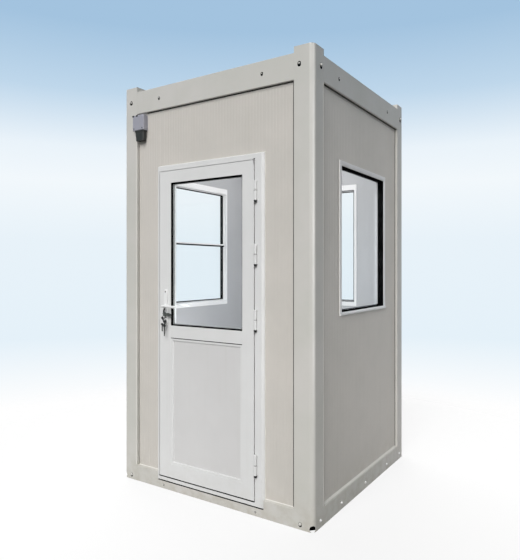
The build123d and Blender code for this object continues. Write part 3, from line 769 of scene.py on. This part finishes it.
# ---- door frame
opening = (-0.4, 0.342, 0.0785, 2.025)
doorFrame = {"stop": (-0.3845, 0.327, 0.100, 2.012), "grip": (-0.403, 0.379, 0.050, 2.045),
             "cover": (-0.423, 0.399, 0.100, 2.065), "coverDepths": (-0.084, -0.078), "stopSeal": (0.007, 0.001),
             "gripDepths": (-0.0182, -0.0508), "stopDepths": (-0.051, -0.0778),
             "trim": [(0, -0.018), (0, -0.0115), (0.2, 0.002), (1, 0.002), (1, -0.018)],
             "seal": [(0, -0.0515), (0, -0.0492), (0.5, -0.0474), (1, -0.0492), (1, -0.0515)],
             "footSeal": ((-0.406, 0.398), (-0.012, 0.0004), (0.0476, 0.051)),
             "sillSeal": ((-0.396, 0.34), (-0.012, 0.0023), (0.0763, 0.0786))}
grip, stop = doorFrame["grip"], doorFrame["stop"]
bm = bmesh.new()
for outer, inner, section in ((frameOuter, opening, doorFrame["trim"]),
                              (grip, opening, flat(*doorFrame["gripDepths"])),
                              (grip, stop, flat(*doorFrame["stopDepths"]))):
    addRing(bm, "front", outer, inner, section)
(a0, a1, u0, u1), s0, s1, stopTop = doorFrame["cover"], stop[0], stop[1], stop[3]
for alongRange, low in (((a0, s0), u0), ((s1, a1), u0), ((s0 + gap, s1 - gap), stopTop)):
    addBlock(bm, "front", alongRange, doorFrame["coverDepths"], (low, u1))
addPiece("door_frame_trim", bm, "doorWhite", (0.0008, 2, 25),
         ("door_frame_lock_jamb", "door_frame_hinge_jamb", "door_frame_head", "door_frame_threshold"))
bm = bmesh.new()  # seals round the stop, and black strips under the frame and on the threshold's upper edge that are painted shade of the gaps there
outer, inner = (grown(stop, amount) for amount in doorFrame["stopSeal"])
addRing(bm, "front", outer, inner, doorFrame["seal"])
for part in ("footSeal", "sillSeal"):
    addBlock(bm, "front", *doorFrame[part])
addPiece("door_stop_seal_and_shade_strips", bm, "blackRubber", (0.0005, 1, 30))

# ---- rubber and mastic in the joints, with painted shade and painted highlight: sections at the top rail's lip and the base
# rail's ledge, and between the wall sheet and the post at its right, in shares of that strip's width
joints = {
    "cornerWidth": {"front": 0.0150, "other": 0.0062},
    "corner": ((1, -0.0182, 0), (1, -0.0174, 0), (0.4, -0.016, 0), (0, -0.0182, 0.35), (0, -0.0182, 0)),
    "lip": [(-0.0076, 0.0039), (-0.0066, 0.0031), (-0.018, -0.0012), (-0.018, 0.0004)],
    "lipMastic": [(-0.0182, -0.0012), (-0.0168, -0.0012), (-0.0172, -0.0074), (-0.0182, -0.008)],
    "ledge": [(-0.0182, -0.001), (-0.006, -0.003), (-0.0165, 0.004), (-0.0182, 0.004)],
    "frontLedge": [(-0.0182, -0.001), (-0.012, -0.003), (-0.0165, 0.0022), (-0.0182, 0.0022)],
    "door": (0.0026, -0.0002, [(0, -0.0182), (0.1, -0.0172), (0.9, -0.015), (1, -0.015), (1, -0.0182)]),
    "window": (0.0024, -0.0002, [(0, -0.0182), (0.1, -0.0173), (0.9, -0.0155), (1, -0.0155), (1, -0.0182)]),
    "edge": ((-0.0090, -0.0016), (-0.0006, 0.0010)), "endGap": 0.0003, "startGap": 0.0045,
    "postGap": 0.0152, "lipGap": 0.0004, "inletGap": 0.0005, "doorGap": 0.003,
}
shadeStripBm, masticHighlightBm, edgeHighlightBm = bmesh.new(), bmesh.new(), bmesh.new()
wallRange = (lipTop + joints["endGap"], lipFoot - joints["endGap"])
for side in sides:
    front = side == "front"
    a0, a1 = sideBox(side, "top_rail_" + side)[0]
    wide = joints["cornerWidth"]["front" if front else "other"]
    # dark strip beside the post at the wall's right end: painted shade of the gap that the post hides
    addUpright(shadeStripBm, side, wallRange, [(a1 - max(share * wide, gap), out + rise * wide)
                                          for share, out, rise in joints["corner"]])
    start = inletFace[1] if front else a0  # dark strip on the sloping lip of the top rail: painted shade under the rail
    addBar(shadeStripBm, side, (start + joints["lipGap"], a1 - joints["lipGap"]), raised(joints["lip"], lipFoot))
    first, last = a0 + joints["startGap"], a1 - joints["postGap"]
    start = inletFace[1] + joints["inletGap"] if front else first
    # pale bead under the dark lip strip: painted highlight
    addBar(masticHighlightBm, side, (start, last), raised(joints["lipMastic"], lipFoot))
    d0, d1 = grown(frameOuter, joints["doorGap"])[:2]
    # pale bead on the base rail's ledge: painted highlight where light from above falls on it
    for ends in ((first, d0), (d1, last)) if front else ((first, last),):
        addBar(masticHighlightBm, side, ends, raised(joints["frontLedge" if front else "ledge"], lipTop))
    rim = frameOuter if front else grown(windows[side], windowTrim)
    outer, inner, section = joints["door" if front else "window"]
    addRing(masticHighlightBm, side, grown(rim, outer), grown(rim, inner), section)
    (e0, e1), outRange = joints["edge"]  # pale bead down the inner edge of the left-hand post: a painted highlight on the post's edge
    addBlock(edgeHighlightBm, side, (a0 + e0, a0 + e1), outRange, wallRange)
addPiece("post_joint_painted_shade_strips", shadeStripBm, "darkSeal", (0.0004, 1, 30))
addPiece("joint_mastic_and_highlight_beads", masticHighlightBm, "jointMastic", (0.0003, 1, 30))
addPiece("post_edge_highlight_beads", edgeHighlightBm, "jointMastic", (0.0006, 2, 30))

# rubber plugs in the posts' feet
footPlug = {"setBack": 0.036, "half": 0.022, "depth": 0.014, "ends": ((0.0005, 1.0), (0.085, 0.9))}
bm = bmesh.new()
for signX, signY in ((-1, -1), (-1, 1), (1, -1), (1, 1)):
    inward, across = Vector((-signX, -signY, 0)).normalized(), Vector((-signY, signX, 0)).normalized()
    corner = Vector((signX * halfWidth, signY * halfDepth, 0))
    addLoft(bm, [[corner + inward * (footPlug["setBack"] + deep * footPlug["depth"])
                  + across * (turn * footPlug["half"] * shrink) + Vector((0, 0, z))
                  for deep, turn in ((0, -1), (0, 1), (1, 1), (1, -1))] for z, shrink in footPlug["ends"]])
addPiece("post_foot_plugs", bm, "blackRubber", (0.0015, 2, 40))
print("door frame and seals done")

# ---- door leaf
leaf = {"face": 0.004, "back": -0.046, "rebate": -0.014, "bead": 0.010, "edge": 0.004, "lap": 0.009,
        "foot": 0.0005, "lapDepths": (0.0027, 0.004), "lapRound": 0.014, "lapEnd": 0.03, "lapSteps": 8,
        "panelBead": 0.017, "glassBead": 0.009,
        "beadSection": [(0, -0.014), (1, -0.014), (1, -0.036), (0.3, -0.0445), (0, -0.0445)],
        "panelSection": [(0, -0.004), (0, 0.0028), (0.16, 0.0028), (0.84, 0.0018), (1, -0.0025), (1, -0.004)],
        "glassSection": [(0, -0.0078), (0, 0.0024), (0.2, 0.0018), (0.45, -0.003), (1, -0.0064), (1, -0.0078)],
        "glassBack": (0.0002, 0.0115, [(0, -0.0141), (1, -0.0141), (1, -0.0185), (0.86, -0.02), (0, -0.02)]),
        "railShadeLine": (0.001, (-0.003, 0.0044), (-0.0012, 0.003)),
        "sweep": (0.002, (-0.012, 0.0043), (-0.0044, 0.0012))}
face, back, rebate = leaf["face"], leaf["back"], leaf["rebate"]
outer, glass, panel = (faceOf("front", node) for node in ("door_leaf_frame", "door_glass", "door_lower_panel"))
inner = (glass[0], glass[1], panel[2], glass[3])
bm = bmesh.new()
addRing(bm, "front", outer, inner, [(0, back), (0, face), (1, face), (1, rebate), (1, back)])
addBlock(bm, "front", (inner[0] + gap, inner[1] - gap), (back, face), (panel[3], glass[2]))
for low, high in (glass[2:], panel[2:]):
    place = (inner[0], inner[1], low, high)
    addRing(bm, "front", place, grown(place, -leaf["bead"]), leaf["beadSection"])
# flange lapping the frame at the lock side and the top, rounded at its far corner
lap, bend, edge = leaf["lap"], leaf["lapRound"], leaf["edge"]
a0, a1, u0, u1 = outer
outline = [(a0 + edge, u0 + leaf["foot"]), (a0 - lap, u0 + leaf["foot"]), (a0 - lap, u1 + lap)]
outline += arc((a1 - bend, u1 + lap - bend), bend, 90, 0, leaf["lapSteps"])
end = u1 - leaf["lapEnd"]
outline += [(a1, end), (a1 - edge, end), (a1 - edge, u1 - edge), (a0 + edge, u1 - edge)]
addLoft(bm, [[onSide("front", a, out, u) for a, u in outline] for out in leaf["lapDepths"]])
addPiece("door_leaf_stiles", bm, "doorWhite", (0.0011, 2, 25), ("door_leaf_frame",), "door_leaf")

bm = bmesh.new()
addRing(bm, "front", panel, grown(panel, -leaf["panelBead"]), leaf["panelSection"])
addPiece("door_panel_beads", bm, "doorWhite", (0.0006, 2, 20), body="door_leaf")
addPiece("door_panel_sheet", None, "doorPanelWhite", (0.0008, 2, 40), ("door_lower_panel",), "door_leaf")

bm = bmesh.new()
addRing(bm, "front", glass, grown(glass, -leaf["glassBead"]), leaf["glassSection"])
outset, inset, section = leaf["glassBack"]
addRing(bm, "front", grown(glass, -outset), grown(glass, -inset), section)
# black line between the middle rail and the panel below it, a painted shade under the rail; and the sweep under
# the leaf, a seal that also gives the gap there its painted shade
for (a0, a1), up, (ends, outRange, (u0, u1)) in ((glass[:2], panel[3], leaf["railShadeLine"]),
                                                 (outer[:2], outer[2], leaf["sweep"])):
    addBlock(bm, "front", (a0 + ends, a1 - ends), outRange, (up + u0, up + u1))
addPiece("door_glass_seal_and_shade_line", bm, "blackRubber", (0.0005, 2, 25), ("door_glass_gasket",), "door_leaf")
print("door leaf done")

# ---- hinges: turned barrels with black caps, as (radius, height above the knuckle's foot)
hinges = {"thick": 0.003, "ends": 0.0005, "apart": 0.1,
          "plate": {"frame": (0.001, 0.01), "leaf": (-0.02, -0.001)},
          "plateOut": {"frame": 0.002, "leaf": face},
          "knuckle": {"frame": 0.0562, "leaf": 0.057},
          "frameBarrel": [(0.0073, 0.001), (0.0085, 0.0024), (0.0085, 0.055), (0.0075, 0.056)],
          "pin": [(0.004, 0.0542), (0.004, 0.0602)],
          "washer": [(0.0077, 0.0563), (0.0081, 0.0566), (0.0081, 0.0576), (0.0077, 0.0579)],
          "footCap": [(0.002, -0.012), (0.00558, -0.01116), (0.00828, -0.0066), (0.009, -0.0012),
                      (0.009, 0.0022)],
          "leafBarrel": [(0.0075, 0.001), (0.0085, 0.002), (0.0085, 0.054), (0.00765, 0.0562),
                         (0.00425, 0.0576)]}
joint = {row["name"]: Vector(row["pos_m"]) for row in frame["joints"]}
hingeX, hingeY = joint["door_hinge"].x, joint["door_hinge"].y
capBm, ends, apart = bmesh.new(), hinges["ends"], hinges["apart"]
for kind, turned, body in (("frame", (("frameBarrel", 32), ("pin", 20)), "booth"),
                           ("leaf", (("leafBarrel", 32),), "door_leaf")):
    bm = bmesh.new()
    levels = sorted(vert.co.z for vert in nodes["hinge_" + kind + "_knuckles"].data.vertices)
    for foot in [high for low, high in zip([-1.0] + levels, levels) if high - low > apart]:  # one per knuckle
        centre = (hingeX, hingeY, foot)
        for part, count in turned:
            addLathe(bm, centre, (0, 0, 1), hinges[part], count)
        (low, high), out = hinges["plate"][kind], hinges["plateOut"][kind]
        addBlock(bm, "front", (hingeX + low, hingeX + high), (out, out + hinges["thick"]),
                 (foot + ends, foot + hinges["knuckle"][kind] - ends))
        for part in ("washer", "footCap") if kind == "frame" else ():
            addLathe(capBm, centre, (0, 0, 1), hinges[part])
    standsFor = ("hinge_" + kind + "_knuckles",)
    addPiece("hinge_" + kind + "_barrels", bm, "doorWhite", (0.0006, 2, 50), standsFor, body)
    if kind == "frame":
        addPiece("hinge_foot_caps", capBm, "blackNylon", (0.0003, 1, 50))

# ---- lock: cover plates, cylinder, levers and keys
handleAt = joint["handle_turn"]
plateBox = faceOf("front", "lock_plates")
cylinderLow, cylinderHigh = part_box("lock_cylinder")
faceY, backY = -halfDepth - face, -halfDepth - back
plates = {"thick": 0.008, "corners": 9,
          "layers": ((0.0, 0.0), (-0.0003, 0.0055), (-0.0016, 0.0072), (-0.004, 0.008)),
          "neckRing": (0.0115, 0.0013, 36), "barrelRing": (0.0102, 0.0008, 32)}
barrel = {"radius": 0.0085, "gap": 60, "steps": 24, "web": 0.00425, "inset": 0.0006,
          "boss": [(0.0066, -0.003), (0.0066, 0.0003), (0.006, 0.0009)]}
cylinderTop = cylinderHigh.z - barrel["radius"]


def plateOutline(grow):  # (x, z) points of a long plate with half-round ends
    a0, a1, u0, u1 = grown(plateBox, grow)
    half, points = (a1 - a0) / 2, []
    for z, first in ((u1 - half, 0), (u0 + half, 180)):
        points += arc(((a0 + a1) / 2, z), half, first, first + 180, plates["corners"])
    return points


bm = bmesh.new()
for start, outward in ((faceY, -1), (backY, 1)):
    addLoft(bm, [[Vector((x, start + outward * rise, z)) for x, z in plateOutline(grow)]
                 for grow, rise in plates["layers"]])
    # raised ring round the lever's neck and a collar round the cylinder
    for ring, z in (("neckRing", handleAt.z), ("barrelRing", cylinderTop)):
        addTorus(bm, (handleAt.x, start + outward * plates["thick"], z), (0, 1, 0), *plates[ring])
addPiece("lock_cover_plates", bm, "handleWhite", (0.0004, 1, 40), ("lock_plates",), "door_leaf", "door_white")

bm = bmesh.new()
outline = arc((handleAt.x, cylinderTop), barrel["radius"], -barrel["gap"], 180 + barrel["gap"], barrel["steps"])
outline += [(handleAt.x - barrel["web"], cylinderLow.z), (handleAt.x + barrel["web"], cylinderLow.z)]
addLoft(bm, [[Vector((x, y, z)) for x, z in outline]
             for y in (cylinderLow.y + barrel["inset"], cylinderHigh.y - barrel["inset"])])
for y, outward in ((cylinderLow.y, -1), (cylinderHigh.y, 1)):
    addLathe(bm, (handleAt.x, y, cylinderTop), (0, outward, 0), barrel["boss"])
addPiece("lock_barrel", bm, "lockSteel", (0.0004, 2, 40), ("lock_cylinder",), "door_leaf")

lever = {"neck": 0.0088, "bend": 0.012, "half": 0.006, "rise": 0.0035, "drop": -0.0015, "thin": 0.0060,
         "wide": 0.0082, "steps": 26, "neckSteps": 4, "bendSteps": 7, "sunk": 0.003, "bow": 0.001,
         "endShare": 0.88, "tip": 0.003, "grip": (0.98, 0.12)}


def makeLever(name, node, start, outward):
    # a round neck that bends into a flattened bar, bowed along its length
    low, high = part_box(node)
    start -= outward * lever["sunk"]
    neck, bend, half, thin, rise = (lever[key] for key in ("neck", "bend", "half", "thin", "rise"))
    barY = (low.y if outward < 0 else high.y) - outward * half
    neckEnd = barY - outward * bend
    path, shape = [], []
    for i in range(lever["neckSteps"] + 1):
        path.append((handleAt.x, start + (neckEnd - start) * i / lever["neckSteps"], handleAt.z))
        shape.append((neck, neck))
    for i in range(1, lever["bendSteps"] + 1):  # the bend, where the neck flattens
        share = i / lever["bendSteps"]
        turn = math.pi / 2 * share
        path.append((handleAt.x + bend * (1 - math.cos(turn)), neckEnd + outward * bend * math.sin(turn),
                     handleAt.z + rise * share))
        shape.append((neck + (half - neck) * share, neck + (thin - neck) * share))
    first, last = handleAt.x + bend, high.x
    for i in range(1, lever["steps"] + 1):  # the grip widens and drops a little towards its end
        share = i / lever["steps"]
        end = max(0.0, (share - lever["endShare"]) / (1 - lever["endShare"]))
        taper = math.sqrt(max(lever["tip"], 1 - end * end))
        path.append((first + (last - first) * share, barY - outward * lever["bow"] * share,
                     handleAt.z + rise + (lever["drop"] - rise) * share))
        shape.append((half * (lever["grip"][0] - lever["grip"][1] * share) * taper,
                      (thin + (lever["wide"] - thin) * share) * taper))
    bm = bmesh.new()
    addSweep(bm, path, shape)
    addPiece(name, smoothed(meshFrom(bm), 60), "handleWhite", None, (node,), "door_handle")


makeLever("lever_outside", "outer_lever", faceY - plates["thick"], -1)
makeLever("lever_inside", "inner_lever", backY + plates["thick"], 1)

# keys: the two broad grips at the lock are (across, depth, height, tilt, size), from the lock's own place;
# each hanging key adds its blade's length and the depths of its teeth
keys = {"half": 0.0012, "grip": 0.0118, "gripThick": 0.0062, "blade": 0.0048, "ring": 0.0120, "wire": 0.0013,
        "gripLayers": ((0.0, 0.78), (0.18, 0.95), (0.5, 1.0), (0.82, 0.95), (1.0, 0.78)), "setBack": 0.0135,
        "shank": [(0.0034, 0.0), (0.0034, 0.013)], "shankSunk": 0.002, "gripRound": 0.92, "gripOver": 0.8,
        "corners": 24,
        "shoulder": 0.0012, "neck": (0.005, 0.006), "stub": 0.001, "tip": 0.002, "plain": 0.014, "land": 0.0004,
        "ringAt": (0.002, 0.0012, 1.0960), "ringAxis": (0.25, 1, 0),
        "broad": ((0.013, 0.0, 1.1155, 8, (1.66, 1.0, 1.08)), (0.0415, 0.004, 1.112, 6, (1.75, 0.9, 0.88))),
        "hung": ((-0.0125, 0.0035, 1.089, -26, (0.74, 1.0, 0.8), 0.03, (0.0018, 0.003)),
                 (0.0155, 0.0, 1.069, 20, (0.78, 1.0, 0.98), 0.03, (0.0026, 0.0012)),
                 (-0.0065, -0.004, 1.05, -1, (0.95, 0.8, 0.64), 0.058, (0.0018, 0.0026, 0.0014, 0.0022)),
                 (0.012, -0.0045, 1.042, -1, (0.86, 0.8, 0.74), 0.078, (0.0024, 0.0012, 0.0026, 0.0016)))}
hook = {"steps": 12, "across": 0.0095, "lean": -0.0075, "bow": -0.0035, "deep": 0.0015, "top": 1.1500,
        "fall": -0.026, "shape": (0.0050, 0.0046)}
lockKeyY = cylinderLow.y - keys["setBack"]


def bladeOutline(length, teeth):  # shoulder and toothed blade hanging down from the grip
    half, tip, (first, last) = keys["blade"], keys["tip"], keys["neck"]
    wide, step, up = half + keys["shoulder"], (length - keys["plain"]) / (len(teeth) * 2), tip - length
    points = [(-wide, keys["stub"]), (-wide, -first), (-half, -last), (-half, -length), (0.0, -length - tip)]
    for depth in teeth:
        points += [(half - keys["land"], up), (half - depth, up + step)]
        up += 2 * step
    return points + [(half, up), (half, -last), (wide, -first), (wide, keys["stub"])]


def addKeyGrip(bm, place):  # rounded moulded grip
    rings = []
    for share, size in keys["gripLayers"]:
        rings.append([])
        for c, s in circle(keys["corners"]):
            wide = keys["grip"] * size * (keys["gripRound"] + (1 - keys["gripRound"]) * abs(c))
            rings[-1].append(place @ Vector((wide * c, keys["gripThick"] * (share - 0.5), wide * s)))
    addLoft(bm, rings)


def hang(dx, depth, z, turn, size):  # a key's place
    return (Matrix.Translation((handleAt.x + dx, lockKeyY + depth, z))
            @ Matrix.Rotation(math.radians(turn), 4, "Y") @ Matrix.Diagonal((*size, 1.0)))


steelBm, gripBm, bladeBm = bmesh.new(), bmesh.new(), bmesh.new()
# two broad keys lying side by side on the ring, the first with its blade in the lock
addLathe(steelBm, (handleAt.x, cylinderLow.y + keys["shankSunk"], cylinderTop), (0, -1, 0), keys["shank"], 16)
for row in keys["broad"]:
    addKeyGrip(steelBm, hang(*row))
# wire hook above them, and the ring below
hookPath = []
for i in range(hook["steps"] + 1):
    share = i / hook["steps"]
    bow = math.sin(math.pi * share)
    hookPath.append((handleAt.x + hook["across"] + hook["lean"] * share + hook["bow"] * bow,
                     lockKeyY + hook["deep"] * bow, hook["top"] + hook["fall"] * share))
addSweep(gripBm, hookPath, [hook["shape"]] * len(hookPath), (0, 1, 0))
dx, depth, z = keys["ringAt"]
addTorus(steelBm, (handleAt.x + dx, lockKeyY + depth, z), keys["ringAxis"], keys["ring"], keys["wire"])
for *row, length, teeth in keys["hung"]:  # moulded grips and toothed blades
    place = hang(*row)
    addKeyGrip(gripBm, place)
    addLoft(bladeBm, [[place @ Vector((x, depth, z - keys["grip"] * keys["gripOver"]))
                       for x, z in bladeOutline(length, teeth)]
                      for depth in (-keys["half"], keys["half"])])
addPiece("key_ring_and_bows", steelBm, "darkSteel", (0.0003, 1, 50), ("lock_keys",), "door_leaf")
addPiece("key_blades", bladeBm, "keySteel", (0.0002, 1, 50), body="door_leaf")
addPiece("key_grips", gripBm, "blackNylon", (0.0004, 1, 60), body="door_leaf", slotName="lock_steel")
print("lock, levers and keys done")

# ---- power inlet
inlet = {"collar": (-0.037, 0.037, -0.019, 0.0165), "collarSteps": ((0.0, 1.0), (-0.008, 1.0), (-0.010, 0.97)),
         "ridges": 7, "ridgePitch": 0.0078, "ridgeEnds": (0.2, 0.96), "narrows": 0.22, "deepens": 0.004,
         "ridge": ((-0.0016, 0.002), (-0.0008, -0.0009), (0.0008, -0.0009), (0.0016, 0.002)),
         "lugs": (-0.0005, 0.0330), "lugAt": (0.0034, -0.0046),
         "lug": [(0.0056, 0.0), (0.0068, 0.001), (0.0068, 0.013), (0.0056, 0.014)]}
inletLow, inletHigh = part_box("power_inlet_box")
socketLow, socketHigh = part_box("power_inlet_socket")
addPiece("inlet_housing", None, "inletGrey", (0.0012, 2, 35), ("power_inlet_box",))
addPiece("inlet_socket_shell", None, "inletBlack", (0.0012, 2, 30), ("power_inlet_socket",))
bm = bmesh.new()
middle = (socketLow + socketHigh) / 2
# collar where the socket leaves the box, and gripping ridges down the face of its flap
x0, x1, y0, y1 = inlet["collar"]
addLoft(bm, [[Vector((middle.x + x * size, middle.y + y * size, socketHigh.z + drop))
              for x, y in ((x0, y0), (x1, y0), (x1, y1), (x0, y1))] for drop, size in inlet["collarSteps"]])
for i in range(inlet["ridges"]):
    offset = (i - (inlet["ridges"] - 1) / 2) * inlet["ridgePitch"]
    addLoft(bm, [[Vector((middle.x + offset * (1 - inlet["narrows"] * share) + x,
                          socketLow.y + inlet["deepens"] * share + y,
                          socketHigh.z - (socketHigh.z - socketLow.z) * share)) for x, y in inlet["ridge"]]
                 for share in inlet["ridgeEnds"]])
for x in inlet["lugs"]:  # lugs that hinge the lid at its top edge
    addLathe(bm, (inletLow.x + x, inletLow.y + inlet["lugAt"][0], inletHigh.z + inlet["lugAt"][1]), (1, 0, 0),
             inlet["lug"], 20)
addPiece("inlet_socket_collar", bm, "inletBlack", (0.0006, 1, 30))
print("power inlet done")

# ---- fasteners: kind, sides, places along them and how high
boltRows = (
    ("post", ("right",), (-0.629, 0.654), 2.504), ("post", ("rear",), (-0.650, 0.628), 2.504),
    ("post", ("left",), (-0.629, 0.654), 2.504), ("front", ("front",), (-0.650, 0.628), 2.504),
    ("rivet", sides, (-0.400, 0.388), 2.496), ("foot", ("front",), (-0.647, 0.633), 0.030),
    ("small", ("front",), (-0.358, 0.344), 0.024),
    ("pale", ("right", "rear", "left"), (-0.636, -0.368, -0.01, 0.371, 0.633), 0.04),
)
# rubber round the heads, its lower half dropped below them as a painted shadow: half its width, and how far its
# lower half drops
headShadowSeals = {"front": (0.0112, 0.0070), "post": (0.0116, 0.0118), "foot": (0.0104, 0.0055),
             "rivet": (0.0082, 0.0064), "small": (0.0056, 0.0016)}
sealCorners, sealLayers = 20, ((-0.0005, 1.0), (0.0009, 0.97))  # layers: outward, and size
# tree, places, (head radius, height, washer radius, height), look, seed, and body and slot where not the usual
heads = {
    "post_bolts": (domeTree, ("post", "foot"), (0.0082, 0.0066, 0.0092, 0.0022), "framePaint", 3),
    "front_bolts": (domeTree, ("front",), (0.0056, 0.0046, 0.0064, 0.0018), "framePaint", 4),
    # the side base rivets take a whiter paint than the frame: painted highlight on their heads
    "base_rivets": (domeTree, ("pale",), (0.0076, 0.0060, 0.0086, 0.0018), "windowWhite", 6),
    "rail_rivets": (domeTree, ("rivet", "small"), (0.0034, 0.0028, 0.0040, 0.0016), "framePaint", 5),
    "roof_screws": (hexTree, ("roof",), (0.005, 0.005, 0.0085, 0.0016), "roofPaint", 7),
    "plate_screws": (domeTree, ("plate",), (0.0040, 0.0018, 0.0052, 0.0008), "screwSteel", 9, "door_leaf"),
    "inlet_screws": (domeTree, ("inlet",), (0.0040, 0.0016, 0.0048, 0.0006), "inletBlack", 11, "booth",
                     "lock_steel"),
}
screws = {"roofPitch": 0.26, "roofCount": 5, "plate": (1.254, 1.052), "inlet": (0.012, 0.086), "sunk": 0.0004}
roofTop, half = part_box("roof_panel")[1].z, screws["roofCount"] // 2
steps = [(i - half) * screws["roofPitch"] for i in range(screws["roofCount"])]
spots = {"roof": [(Vector((x, y, roofTop)), (0, 0, 1)) for x in steps for y in steps]}
spots["plate"] = [(Vector((handleAt.x, y - outward * screws["sunk"], z)), (0, outward, 0))
                  for y, outward in ((faceY - plates["thick"], -1), (backY + plates["thick"], 1))
                  for z in screws["plate"]]
spots["inlet"] = [(Vector((inletLow.x + dx, inletLow.y + screws["sunk"], inletLow.z + screws["inlet"][0])),
                   (0, -1, 0)) for dx in screws["inlet"]]
for kind, places, alongs, up in boltRows:
    spots.setdefault(kind, []).extend((onSide(side, along, 0.0, up), sides[side][2])
                                      for side in places for along in alongs)
bm = bmesh.new()
for kind, (half, drop) in headShadowSeals.items():
    for place, outward in spots[kind]:
        across = Vector((0, 0, 1)).cross(outward)
        # the lower half reaches down past the head: painted shadow under it
        outline = [place + across * (half * c) + Vector((0, 0, half * s - (drop if s < 0 else 0)))
                   for c, s in circle(sealCorners)]
        addLoft(bm, [[place + (point - place) * size + outward * out for point in outline]
                     for out, size in sealLayers])
addPiece("bolt_seals_and_painted_shadows", bm, "blackRubber", (0.0003, 1, 40))
for name, (tree, kinds, size, look, seed, *where) in heads.items():
    places = [spot for kind in kinds for spot in spots[kind]]
    settings = dict(zip(("Head Radius", "Head Height", "Washer Radius", "Washer Height"), size))
    settings.update({"Seed": seed, "Material": looks[look]})
    mesh = growMesh(tree, [tuple(place) for place, outward in places],
                    {"facing": [tuple(outward) for place, outward in places]}, settings, 35)
    addPiece(name, mesh, look, None, (), *where)
print("fasteners done")

# ---- stage: pale floor, sky, lamps and camera
stage = {"floorRadius": 3.6, "floorEdges": 96, "fadeStart": 1.8, "fadeEnd": 3.4, "floorTone": 0.86,
         "bounceTone": 0.32, "lift": 0.75, "rough": 0.9}
bm = bmesh.new()
bmesh.ops.create_circle(bm, cap_ends=True, radius=stage["floorRadius"], segments=stage["floorEdges"])
floor = bpy.data.objects.new("floor", plainMesh(bm))
scene.collection.objects.link(floor)

tree, surface = newMaterial("paleFloor")
glow = addNode(tree, "ShaderNodeEmission", {"Color": (1, 1, 1, 1), "Strength": 1.0})
seen = seenNode(tree)
pale, dim = [(tone, tone, tone, 1.0) for tone in (stage["floorTone"], stage["bounceTone"])]
feed(tree, surface, {"Base Color": mixColour(tree, seen, dim, pale), "Roughness": stage["rough"],
                     "Specular IOR Level": 0.0})
lifted = mixShader(tree, mathNode(tree, "MULTIPLY", seen, stage["lift"]), surface, glow)
distance = addNode(tree, "ShaderNodeVectorMath", {0: objectPlace(tree)}, operation="LENGTH").outputs["Value"]
fade = mathNode(tree, "MULTIPLY", rampNode(tree, distance, stage["fadeStart"], stage["fadeEnd"]), seen)
whole = mixShader(tree, fade, lifted, addNode(tree, "ShaderNodeBsdfTransparent"))
feed(tree, tree.nodes["Material Output"], {0: whole.outputs[0]})
floor.data.materials.append(looks["paleFloor"])

sky = {"light": 0.09, "low": -0.25, "high": 0.45,  # heights and their colours
       "stops": ((-0.23, (255, 255, 255)), (-0.12, (229, 241, 249)), (0.05, (232, 242, 249)),
                 (0.15, (242, 248, 252)), (0.21, (234, 243, 250)), (0.3, (191, 215, 235)),
                 (0.4, (163, 195, 223)))}
world = bpy.data.worlds.new("sky")
scene.world = world
world.use_nodes = True
tree = world.node_tree
tree.nodes.clear()
direction = addNode(tree, "ShaderNodeTexCoord").outputs["Generated"]
height = addNode(tree, "ShaderNodeSeparateXYZ", {0: direction}).outputs[2]
inputs = {"Value": height, "From Min": sky["low"], "From Max": sky["high"]}
ramp = addNode(tree, "ShaderNodeValToRGB", {0: addNode(tree, "ShaderNodeMapRange", inputs).outputs[0]})
elements = ramp.color_ramp.elements
while len(elements) < len(sky["stops"]):
    elements.new(0.5)
for element, (level, tint) in zip(elements, sky["stops"]):
    element.position = (level - sky["low"]) / (sky["high"] - sky["low"])
for element, (level, tint) in zip(elements, sky["stops"]):
    element.color = colour(*tint)
skySeen = addNode(tree, "ShaderNodeBackground", {"Color": ramp.outputs[0], "Strength": 1.0})
skyLight = addNode(tree, "ShaderNodeBackground", {"Color": (1.0, 1.0, 1.0, 1.0), "Strength": sky["light"]})
addNode(tree, "ShaderNodeOutputWorld", {0: mixShader(tree, seenNode(tree), skyLight, skySeen).outputs[0]})

# suns: energy, angle across, turn, height; cabin lamps: energy, place, turn, size, spread
suns = {"sun": (3.35, 46, 16, 38), "back": (2.1, 60, 225, 35), "rim": (3.8, 34, 76, 6)}
cabinLamps = {"cabinTop": (8.2, (0, 0, 2.38), (0, 0), 1.0, 180),
              "cabinFoot": (7.0, (-0.1, -0.1, 0.16), (180, 0), 1.0, 180),
              "cabinFront": (1.4, (0, -0.56, 1.75), (90, 0), 1.0, 105),
              "cabinSide": (1.8, (0.1, -0.52, 0.85), (0, 90), 0.3, 105)}


def addLamp(name, kind, energy, turn, place=(0, 0, 0)):  # turn: about x, y and z in degrees
    lamp = bpy.data.lights.new(name, kind)
    lamp.energy = energy
    lampObject = bpy.data.objects.new(name, lamp)
    lampObject.location = place
    lampObject.rotation_euler = [math.radians(angle) for angle in turn]
    lampObject.visible_transmission = False
    scene.collection.objects.link(lampObject)
    return lamp, lampObject


for name, (energy, angle, turn, height) in suns.items():
    lamp, lampObject = addLamp(name, "SUN", energy, (90 - height, 0, turn))
    lamp.angle = math.radians(angle)
    lampObject.visible_diffuse = name != "rim"
for name, (energy, place, turn, size, spread) in cabinLamps.items():  # even light inside the booth
    lamp, lampObject = addLamp(name, "AREA", energy, (*turn, 0), place)
    lamp.shape, lamp.spread = "RECTANGLE", math.radians(spread)
    lamp.size = lamp.size_y = size

view = {"place": (2.045, -3.253, 1.404), "turn": 33.33, "lens": 34.719, "shift": -0.0214}
camera = bpy.data.cameras.new("camera")
camera.lens, camera.shift_y = view["lens"], view["shift"]
cameraObject = bpy.data.objects.new("camera", camera)
cameraObject.location = view["place"]
cameraObject.rotation_euler = (math.radians(90), 0, math.radians(view["turn"]))
scene.collection.objects.link(cameraObject)
scene.camera = cameraObject
scene.view_settings.view_transform = "Standard"
print("stage, lamps and camera done")
